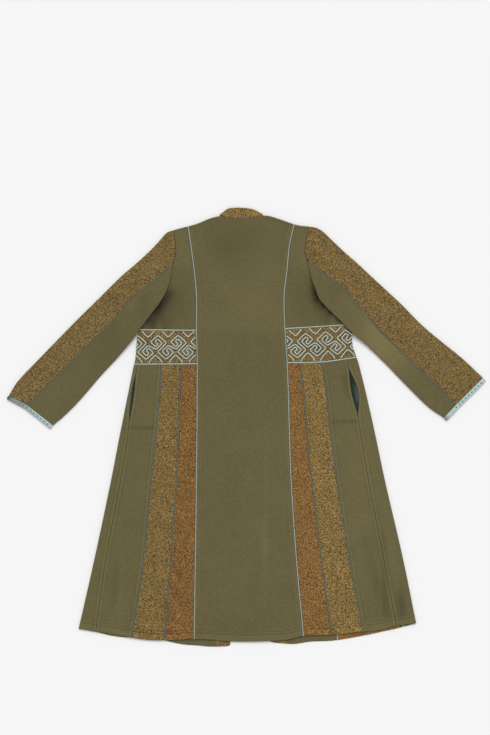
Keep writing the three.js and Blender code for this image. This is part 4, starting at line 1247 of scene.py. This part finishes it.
def makeBand(name, side):
    # the waist band with its couched fret, and the cords above and below it
    out = side["sign"]
    backSeam, frontSeam = (beside(side[key], out * pastBraid) for key in ("princess", "frontPrincess"))
    top, bottom = beside(side["bandTop"], -pastBraid), beside(side["bandBottom"], pastBraid)
    middles = np.array(fret["middles"][name], float)
    slope = np.polyfit(middles[:, 0], middles[:, 1], 1)
    lattice = fret["unit"] * fret["step"]

    def charted(corners, repeat):
        # lattice corners of one repeat as places along the band and levels
        p, q = np.array(corners, float).T
        along = middles[0, 0] + repeat * lattice - (p - q) * fret["step"] / 2
        y = np.polyval(slope, np.minimum(along, fret["levelFrom"])) + -(p + q) * fret["step"] / 2
        return np.stack([along, y], -1)

    def cordLine(corners):
        return evenly(roundedPath(corners, fret["round"]), embroideryPlan["step"])

    half = np.array(fret["half"], float)
    motif = np.concatenate([half, -half[::-1]])
    repeats = range(*fret["repeats"])
    lines = [cordLine(np.concatenate([charted(motif, repeat) for repeat in reversed(repeats)]))]
    lines += [cordLine(charted(fret[key], repeat)) for repeat in repeats for key in ("upper", "lower")]
    cordPoints = np.concatenate(lines)
    cordPoints = cordPoints[np.abs(cordPoints[:, 0] - fret["shadeAt"]) < fret["shadeReach"]]

    def cordContactShadow(x, y):
        # painted shadow: the ground darker where it lies within a little of a raised cord
        total = np.zeros_like(x)
        for row in range(len(x)):
            away = np.hypot(np.abs(x[row])[:, None] - cordPoints[:, 0], y[row][:, None] - cordPoints[:, 1])
            total[row] = away.min(axis=1)
        return fret["shade"] * bell(np.maximum(total - fret["halfWide"], 0) / fret["shadeHalf"])

    parts = []
    edgeIn = fret["edgeIn"]
    for line in lines:
        along, y = line.T
        centre = np.abs(side["fold"](y)) - foldRadius
        x = np.minimum(along, 2 * centre + halfTurn - along)
        inside = (along > np.abs(backSeam(y)) + edgeIn) & (y < top(out * x) - edgeIn)
        inside &= y > bottom(out * x) + edgeIn
        inside &= (along <= centre + halfTurn) | (x > np.abs(frontSeam(y)) + edgeIn)
        breaks = np.flatnonzero(np.diff(np.r_[False, inside, False].astype(int)))
        for start, stop in zip(breaks[::2], breaks[1::2]):
            if stop - start < fret["shortest"]:
                continue
            points, normals, turn = onSide(side, along[start:stop], y[start:stop], embroideryRadius)
            high = mix(fret["halfHigh"], fret["frontHigh"], roundShare(turn))
            parts.append(tubePart(points, normals, fret["halfWide"], high, embroideryPlan))
    embroidery = makePiece(f"waist_band_{name}_embroidery", joinParts(parts), "paleYarn")
    plan = {
        "side": side, "backSeam": backSeam, "frontSeam": frontSeam, "top": top, "bottom": bottom,
        "edges": plainEdges, "cell": 2.0, "middle": 210, "rough": bandRough, "frontThinner": bandThinner,
    }
    turnedCloth(f"waist_band_{name}", plan, "mustardBoucle", cordContactShadow)
    for place, line in (("upper", side["bandTop"]), ("lower", side["bandBottom"])):
        yMiddle = float(line(out * bandCord["level"]))
        ends = [abs(float(seam(yMiddle))) for seam in (backSeam, frontSeam)]
        centre = abs(float(side["fold"](yMiddle))) - foldRadius
        along = evenSteps(ends[0], 2 * centre + halfTurn - ends[1], braidPlan["step"])
        x = np.where(along > centre + halfTurn, 2 * centre + halfTurn - along, np.minimum(along, centre))
        points, normals, turn = onSide(side, along, line(out * x), bandCordRadius)
        front = roundShare(turn)
        wide = mix(braidWidth / 2, bandCord["frontWide"], front)
        high = mix((cloth + braidProud) / 2, bandCord["frontHigh"], front)
        makePiece(f"waist_cord_{place}_{name}_cord", tubePart(points, normals, wide, high, braidPlan),
                  "waistCord", [f"waist_cord_{place}_{name}"])


for name, side in sides.items():
    makeBand(name, side)
print("waist bands made")

# the collar's tone is painted light: the collar is drawn a little lighter, as it lies more to the light
collarPlan = {"width": 27.0, "rows": 8, "frontSteps": 26, "turnSteps": 12, "neckSteps": 52, "tuck": 0.2,
              "tuckFrom": 0.8, "blend": 0.25, "pattern": 300, "tone": 0.22}


def makeCollar():
    # one strip: up the left front, turned at the neck, along the back neck and down the right front
    plan = collarPlan
    heights, width = nearEdge(plainEdge), plan["width"]
    middle = np.linspace(heights[-1], width - heights[-1], plan["rows"])[1:-1]
    s = np.r_[heights, middle, width - heights[::-1]] / width
    frontSteps = np.linspace(0, 1, plan["frontSteps"])
    foldTurn = np.linspace(0, np.pi, plan["turnSteps"])[1:-1]
    ease = mix(1, plan["tuck"], smoothStep(plan["tuckFrom"], 1, s))[:, None]
    neckShare = np.linspace(0, 1, plan["neckSteps"])

    def turned(side):
        seam, edge = np.array(side["collarFold"]["seam"], float), np.array(side["collarFold"]["edge"], float)
        length = np.hypot(*(edge - seam))
        reach = np.array([side["sign"] * (edge[1] - seam[1]), -side["sign"] * (edge[0] - seam[0])]) / length
        return mix(seam, edge, s[:, None]) - reach * foldRadius * ease, reach

    pieces, starts = [], []
    for side in (left, right):
        start, reach = turned(side)
        endX = mix(float(side["bandSeam"](collarDepth)) - side["sign"] * collarEase,
                   float(side["bandEdge"](collarDepth)), s)
        end = np.stack([endX, np.full_like(endX, collarDepth)], -1)
        front = mix(start[:, None], end[:, None], frontSteps[None, :, None])
        fold = np.repeat(start[:, None], len(foldTurn), axis=1)
        place = np.concatenate([fold, front], axis=1)
        turn = np.r_[foldTurn, np.full(len(frontSteps), np.pi)]
        if side is left:
            place, turn = place[:, ::-1], turn[::-1]
        pieces.append((place, turn, np.broadcast_to(reach, place.shape)))
        starts.append(start)
    x = mix(starts[0][:, :1], starts[1][:, :1], neckShare)
    y = mix(neckSeam(x) + armholeGap, collarTop(x), s[:, None])
    y = y + (starts[0][:, 1:] - y[:, :1]) * (1 - smoothStep(0, plan["blend"], neckShare))
    y = y + (starts[1][:, 1:] - y[:, -1:]) * smoothStep(1 - plan["blend"], 1, neckShare)
    neck = (np.stack([x, y], -1), np.zeros(len(neckShare)), np.zeros((len(s), len(neckShare), 2)))
    place, turn, reach = (np.concatenate(part, axis=axis) for part, axis in
                          zip(zip(pieces[0], neck, pieces[1]), (1, 0, 1)))
    distance = np.minimum(s, 1 - s)[:, None] * width + 0 * turn
    wall = wallOver([distance], [plainEdge], boucleRough, place[..., 0],
                    place[..., 1] + plan["pattern"] * (turn > 2))
    wall = mix(wall, np.minimum(wall, cloth), roundShare(turn))

    def face(size):
        flat = place + reach * (size * np.sin(turn) * ease)[..., None]
        return np.concatenate([flat, (foldRadius + size * np.cos(turn))[..., None]], -1)

    outer, inner = face(foldInside + wall), face(np.full_like(wall, foldInside))
    piece = makePiece("collar_cloth", shellPart(outer, inner, place * toMetres), "mustardBoucle", ["collar"],
                      np.full(wall.shape, plan["tone"]))


makeCollar()
print("collar made")

sleevePlan = {
    "crown": 2.6, "crownStart": 45, "cuffCrown": 0.35, "cuffFrom": 160, "riseStart": 0.15, "riseEnd": 0.55,
    "mostRise": 1.05, "bulge": 0.8, "creaseIn": 1.5, "mostClear": 0.3, "narrow": 40, "turns": 10,
    "typicalRow": 8, "fewestCells": 6, "backPattern": 400, "far": 99, "pipingFrom": 0.35,
    "creases": {
        "left": [[-268, 372, -230, 330, 8, -0.9], [-300, 318, -262, 300, 9, 0.9],
                 [-352, 292, -318, 236, 10, 1.1], [-430, 205, -372, 150, 12, 0.8],
                 [-330, 380, -290, 348, 12, -0.6], [-460, 250, -420, 214, 14, 0.5]],
        "right": [[232, 372, 205, 335, 8, -0.9], [285, 312, 246, 290, 9, 0.9],
                  [330, 262, 300, 230, 9, 1.1], [410, 176, 385, 146, 11, 0.9],
                  [300, 372, 262, 340, 12, -0.6], [480, 236, 430, 196, 14, 0.5]],
    },
}
underCell = feltCell * 0.8
cuffPlan = {"near": (0, 0.15, 0.45, 0.9, 1.5, 2.4), "rows": 5, "cols": 24, "round": 2.0, "proud": 0.45,
            "proudOver": 2, "threadAt": 0.52, "threadSink": 0.45, "threadPoints": 60, "acrossRow": 4,
            "threadFrom": {"left": 12, "right": 2}, "threadTo": {"left": 58, "right": 46}}
cuffThread = {"pitch": 10.8, "long": 6.4, "thick": 3.6, "uneven": 0.35, "stray": 0.9, "seed": 5}
cuffTapeBrightness = {
    "left": {"low": -0.42, "high": 0.22, "from": 0.05, "to": 0.75, "spot": -0.4, "at": 0, "half": 0.06},
    "right": {"low": 0.30, "high": 0.30, "from": 0, "to": 1, "spot": -0.75, "at": 1, "half": 0.07},
}


def sleeveRuns(side, piece, shares, clear, sample):
    # places along one layer, from the seam to where its edge starts to turn, at each sample
    rows, at = side["rows"], side["rowsAt"]
    seam = rows[:, 2:4]
    end = rows[:, 0:2] if piece == "over" else rows[:, 4:6]
    length = np.linalg.norm(end - seam, axis=1)
    start = np.minimum(clear, sleevePlan["mostClear"] * length)
    along = (start[:, None] + shares[0] * (length - foldRadius - start)[:, None]
             + shares[1] * np.minimum(length / sleevePlan["narrow"], 1)[:, None])
    place = seam[:, None] + (end - seam)[:, None] * (along / length[:, None])[..., None]
    place[0, :, 0] = side["armholeLine"](place[0, :, 1]) + side["sign"] * armholeGap
    reach = (end - seam) / length[:, None]
    curve = np.stack([[readAt(at, place[:, i, k], sample) for k in (0, 1)] for i in range(place.shape[1])], 0)
    turned = np.stack([readAt(at, reach[:, k], sample) for k in (0, 1)], -1)
    return curve.transpose(2, 0, 1), unit(turned)


def sleeveHeights(name, side, sample, x, y):
    # lift over the body, and the soft crown of the upper layer
    rows, at = side["rows"], side["rowsAt"]
    ends = np.stack([readAt(at, rows[:, k], sample) for k in (0, 1, 4, 5)], -1)
    outer, inner = ends[:, None, :2], ends[:, None, 2:]
    span = inner - outer
    along = (x - outer[..., 0]) * span[..., 0] + (y - outer[..., 1]) * span[..., 1]
    share = along / (span ** 2).sum(axis=-1)
    rise = np.clip(readAt(at, side["rises"] + [0], sample)[:, None], 0, sleevePlan["mostRise"])
    lift = rise * sleeveRise * smoothStep(sleevePlan["riseStart"], sleevePlan["riseEnd"], share)
    bulge = np.clip(4 * share * (1 - share), 0, 1) ** sleevePlan["bulge"]
    fade = smoothStep(0, sleevePlan["crownStart"], sample) * mix(
        1, sleevePlan["cuffCrown"], smoothStep(at[-1] - sleevePlan["cuffFrom"], at[-1], sample))
    creases = creaseSum(sleevePlan["creases"][name], x, y) * np.clip(bulge * sleevePlan["creaseIn"], 0, 1)
    return lift, sleevePlan["crown"] * fade[:, None] * bulge + creases


def sleeveSection(name, side, piece, sample, cols, wallOf):
    # along the upper layer, round the turned edge and back along the lower layer
    top, reach = sleeveRuns(side, piece, cols, pastPiping, sample)
    low, _ = sleeveRuns(side, piece, cols, halfGap, sample)
    turns = np.linspace(0, np.pi, sleevePlan["turns"] + 1)[1:-1]
    edge = np.repeat(top[:, -1:], len(turns), axis=1)
    place = np.concatenate([top, edge, low[:, ::-1]], axis=1)
    turn = np.r_[np.zeros(top.shape[1]), turns, np.full(low.shape[1], np.pi)]
    lift, crown = sleeveHeights(name, side, sample, place[..., 0], place[..., 1])
    base = foldRadius + lift + crown * ((1 + np.cos(turn)) / 2)
    wall = wallOf(np.linalg.norm(place - top[:, :1], axis=-1), place, turn)

    def face(size):
        flat = place + reach[:, None] * (size * np.sin(turn))[..., None]
        return np.concatenate([flat, (base + size * np.cos(turn))[..., None]], -1)

    return face(foldInside + wall), face(np.full_like(wall, foldInside)), place, turn


def tapeTone(name, side, place):
    # darker towards the left cuff's outer corner and the right cuff's inner corner, pale elsewhere
    tapeBrightness = cuffTapeBrightness[name]
    outer, inner = np.array(side["cuff"][:2], float), np.array(side["cuff"][4:], float)
    span = inner - outer
    share = ((place[..., :2] - outer) @ span) / (span @ span)
    ground = mix(tapeBrightness["low"], tapeBrightness["high"], smoothStep(tapeBrightness["from"], tapeBrightness["to"], share))
    return ground + tapeBrightness["spot"] * bell((share - tapeBrightness["at"]) / tapeBrightness["half"])


# painted light and shade on the sleeves, with some uneven tone: lighter and darker places, centre x and y,
# half sizes, strength
sleeveLightAndShadeSpots = {
    "under": [
        [-300, 318, 14, 18, 0.08], [-262, 330, 16, 22, -0.10], [-352, 255, 14, 26, -0.06],
        [-420, 160, 20, 30, 0.04], [268, 318, 12, 20, 0.08], [226, 352, 14, 22, -0.08],
        [322, 246, 12, 24, 0.06], [400, 170, 18, 26, 0.03], [352, 222, 66, 95, 0.48],
        [-350, 230, 110, 130, -0.08],
    ],
    "over": [
        [-537, 152, 40, 30, -0.12], [-334, 322, 30, 24, -0.09], [-282, 376, 26, 20, -0.08],
        [-214, 476, 14, 26, -0.16], [-430, 250, 60, 26, 0.04], [199, 508, 22, 22, -0.12],
        [286, 378, 26, 22, -0.09], [420, 262, 40, 24, 0.04],
    ],
}


def makeSleeve(name, side):
    # the over and under sleeve, the piping between them and the binding with its hand stitches
    rows, at = side["rows"], side["rowsAt"]
    sleeveEnd = at[-2]
    for piece, finish, cell, rough in (("over", "sleeveBoucle", boucleCell, boucleRough),
                                       ("under", "greenFelt", underCell, 0)):
        row = rows[sleevePlan["typicalRow"]]
        typical = np.linalg.norm(row[2:4] - (row[0:2] if piece == "over" else row[4:6]))
        near = nearEdge(plainEdge)
        count = max(int(typical / cell), sleevePlan["fewestCells"])
        even = np.arange(1, count + 1) / count
        cols = (np.r_[np.zeros(len(near)), even], np.r_[near, near[-1] * (1 - even)])
        atRows = np.r_[near, np.linspace(near[-1], sleeveEnd - near[-1], int(sleeveEnd / cell))[1:-1],
                       sleeveEnd - near[::-1]]

        def wallOf(fromSeam, place, turn):
            ends = np.minimum(atRows, sleeveEnd - atRows)[:, None] + 0 * fromSeam
            fromLow = np.linalg.norm(place - place[:, -1:], axis=-1)
            seamAway = np.where(turn == 0, fromSeam, np.where(turn > 3, fromLow, sleevePlan["far"]))
            wall = wallOver([ends, seamAway], [plainEdge, plainEdge], rough,
                            place[..., 0] + sleevePlan["backPattern"] * (turn > 1), place[..., 1])
            return mix(wall, np.minimum(wall, cloth), roundShare(turn))

        outer, inner, place, turn = sleeveSection(name, side, piece, atRows, cols, wallOf)
        across = lengthAlong(outer[len(outer) // 2])
        run = np.stack(np.broadcast_arrays(across[None, :], atRows[:, None]), -1) * toMetres
        shade = spotSum(sleeveLightAndShadeSpots[piece], place[..., 0], place[..., 1]) * (1 + np.cos(turn)) / 2
        layer = makePiece(f"{piece}_sleeve_{name}_cloth", shellPart(outer, inner, run), finish,
                          [f"{piece}_sleeve_{name}"], shade)

    # piping in the upper seam
    sample = evenSteps(at[1] * sleevePlan["pipingFrom"], sleeveEnd, pipingPlan["step"])
    seam = np.stack([readAt(at, rows[:, k], sample) for k in (2, 3)], -1)
    lift, crown = sleeveHeights(name, side, sample, seam[:, None, 0], seam[:, None, 1])
    tall = cloth + pipingProud
    z = backUnder + lift[:, 0] + crown[:, 0] + tall / 2
    part = tubePart(np.c_[seam, z], upward, pipingWidth / 2, tall / 2, pipingPlan)
    makePiece(f"sleeve_piping_{name}_cord", part, "seamCordGreen", [f"sleeve_piping_{name}"])

    # the binding: a flat ring that closes the sleeve's end
    start, end = sleeveEnd + seamGap, at[-1]
    near = np.array(cuffPlan["near"])
    atRows = np.r_[start + near, np.linspace(start + near[-1], end - near[-1], cuffPlan["rows"])[1:-1],
                   end - near[::-1]]
    cols = (np.arange(cuffPlan["cols"] + 1) / cuffPlan["cols"], np.zeros(cuffPlan["cols"] + 1))

    def tapeWall(fromSeam, place, turn):
        ends = np.minimum(atRows - start, end - atRows)[:, None] + 0 * fromSeam
        wall = wallOver([ends], [{**plainEdge, "round": cuffPlan["round"]}], 0, place[..., 0], place[..., 1])
        proud = cuffPlan["proud"] * smoothStep(0, cuffPlan["proudOver"], ends)
        return mix(wall + proud, np.minimum(wall, cloth), roundShare(turn))

    over, under = (sleeveSection(name, side, piece, atRows, cols, tapeWall)[:2]
                   for piece in ("over", "under"))
    outer, inner = (np.concatenate([over[i], under[i][:, ::-1]], axis=1) for i in (0, 1))
    across = lengthAlong(outer[cuffPlan["acrossRow"]])
    across = np.r_[across, across[-1] + 2]
    run = np.stack(np.broadcast_arrays(across[None, :], (atRows - start)[:, None]), -1) * toMetres
    tape = makePiece(f"cuff_binding_{name}_cloth", shellPart(outer, inner, run, ring=True), "cuffTape",
                     [f"cuff_binding_{name}"], tapeTone(name, side, outer))

    # hand stitches along the binding's upper face
    row = np.argmin(np.abs(atRows - (start + (end - start) * cuffPlan["threadAt"])))
    quarter = len(cols[0])
    topRun = np.concatenate([outer[row, :quarter][::-1], outer[row, -quarter:][::-1]])
    length = lengthAlong(topRun)
    where = np.linspace(0, length[-1], cuffPlan["threadPoints"])
    smooth = np.stack([np.interp(where, length, topRun[:, k]) for k in range(3)], -1)
    smooth[:, 2] -= cuffPlan["threadSink"]
    shown = smooth[cuffPlan["threadFrom"][name]:cuffPlan["threadTo"][name]]
    threads = makePiece(f"cuff_stitches_{name}", topstitch(shown, cuffThread), "tealThread")


for name, side in sides.items():
    makeSleeve(name, side)
print("sleeves made")

# twin stitches across the side panels under the pocket bags, in a near black thread that stands in for
# painted shade of their stitch grooves
pocketStitches = {"drops": (0.0, 5.5), "below": 12, "inFromTop": 30, "margin": 2.0, "low": -400}
seamStitches = len(stitchParts)
for side in sides.values():
    lineTop = side["slit"]["bottom"] - pocketStitches["below"]
    for drop in pocketStitches["drops"]:
        plan = {
            "inner": beside(side["green"], side["sign"] * pastPiping),
            "outer": beside(side["side"], -side["sign"] * halfGap),
            "top": level(lineTop - drop + pocketStitches["inFromTop"]),
            "bottom": level(pocketStitches["low"]),
            "edges": [allowanceEdge, sideEdge, {**plainEdge, "round": 0.01}, plainEdge],
            "under": onBackLayer,
        }
        stitchAcross(plan, "top", pocketStitches["inFromTop"], pocketStitches["margin"], pocketThread)
makePiece("topstitch_braids", joinParts(stitchParts[:braidStitches]), "tanThread")
makePiece("topstitch_back", joinParts(stitchParts[braidStitches:seamStitches]), "greenThread")
makePiece("topstitch_pockets", joinParts(stitchParts[seamStitches:]), "grooveShadeThread")
print("topstitch made:", len(stitchParts), "lines")

# floor, light and camera
studio = {"sky": 0.62, "key": 1.9, "keyTilt": 38, "keyTurn": -8, "keySpread": 34, "floorColour": (0.845,) * 3,
          "floorGrain": 60.0, "grainShade": 0.995, "floorHalf": 60.0, "floorLevel": -0.0004, "lens": 85,
          "sensor": 36, "eye": (-0.00377, 0.15535, 4.518)}


def makeStudio():
    # a pale floor, a white room, one wide soft sun and a camera straight above
    half, drop = studio["floorHalf"], studio["floorLevel"]
    corners = [(-half, -half, drop), (half, -half, drop), (half, half, drop), (-half, half, drop)]
    mesh = bpy.data.meshes.new("floor")
    mesh.from_pydata(corners, [], [(0, 1, 2, 3)])
    floor = bpy.data.objects.new("floor", mesh)
    bpy.context.scene.collection.objects.link(floor)
    material = bpy.data.materials.new("palePaper")
    material.use_nodes = True
    tree = material.node_tree
    shader = tree.nodes["Principled BSDF"]
    place = addNode(tree, "ShaderNodeTexCoord", {})
    grain = noise(tree, place.outputs["Object"], studio["floorGrain"])
    grained = [value * studio["grainShade"] for value in studio["floorColour"]]
    pale = blendColours(tree, grain, (*grained, 1), (*studio["floorColour"], 1))
    feed(tree, shader.inputs["Base Color"], pale)
    shader.inputs["Roughness"].default_value = 0.9
    shader.inputs["Specular IOR Level"].default_value = 0.1
    mesh.materials.append(material)

    world = bpy.data.worlds.new("softRoom")
    world.use_nodes = True
    background = world.node_tree.nodes["Background"]
    background.inputs["Color"].default_value = (1, 1, 1, 1)
    background.inputs["Strength"].default_value = studio["sky"]
    bpy.context.scene.world = world

    light = bpy.data.lights.new("softWindow", "SUN")
    light.energy, light.angle = studio["key"], float(np.radians(studio["keySpread"]))
    lamp = bpy.data.objects.new("softWindow", light)
    lamp.rotation_euler = (-float(np.radians(studio["keyTilt"])), 0, float(np.radians(studio["keyTurn"])))
    bpy.context.scene.collection.objects.link(lamp)

    camera = bpy.data.cameras.new("overhead")
    camera.lens, camera.sensor_width = studio["lens"], studio["sensor"]
    eye = bpy.data.objects.new("overhead", camera)
    eye.location = studio["eye"]
    bpy.context.scene.collection.objects.link(eye)
    bpy.context.scene.camera = eye
    bpy.context.scene.view_settings.view_transform = "Standard"


makeStudio()
print("studio made; pieces:", pieceCount)
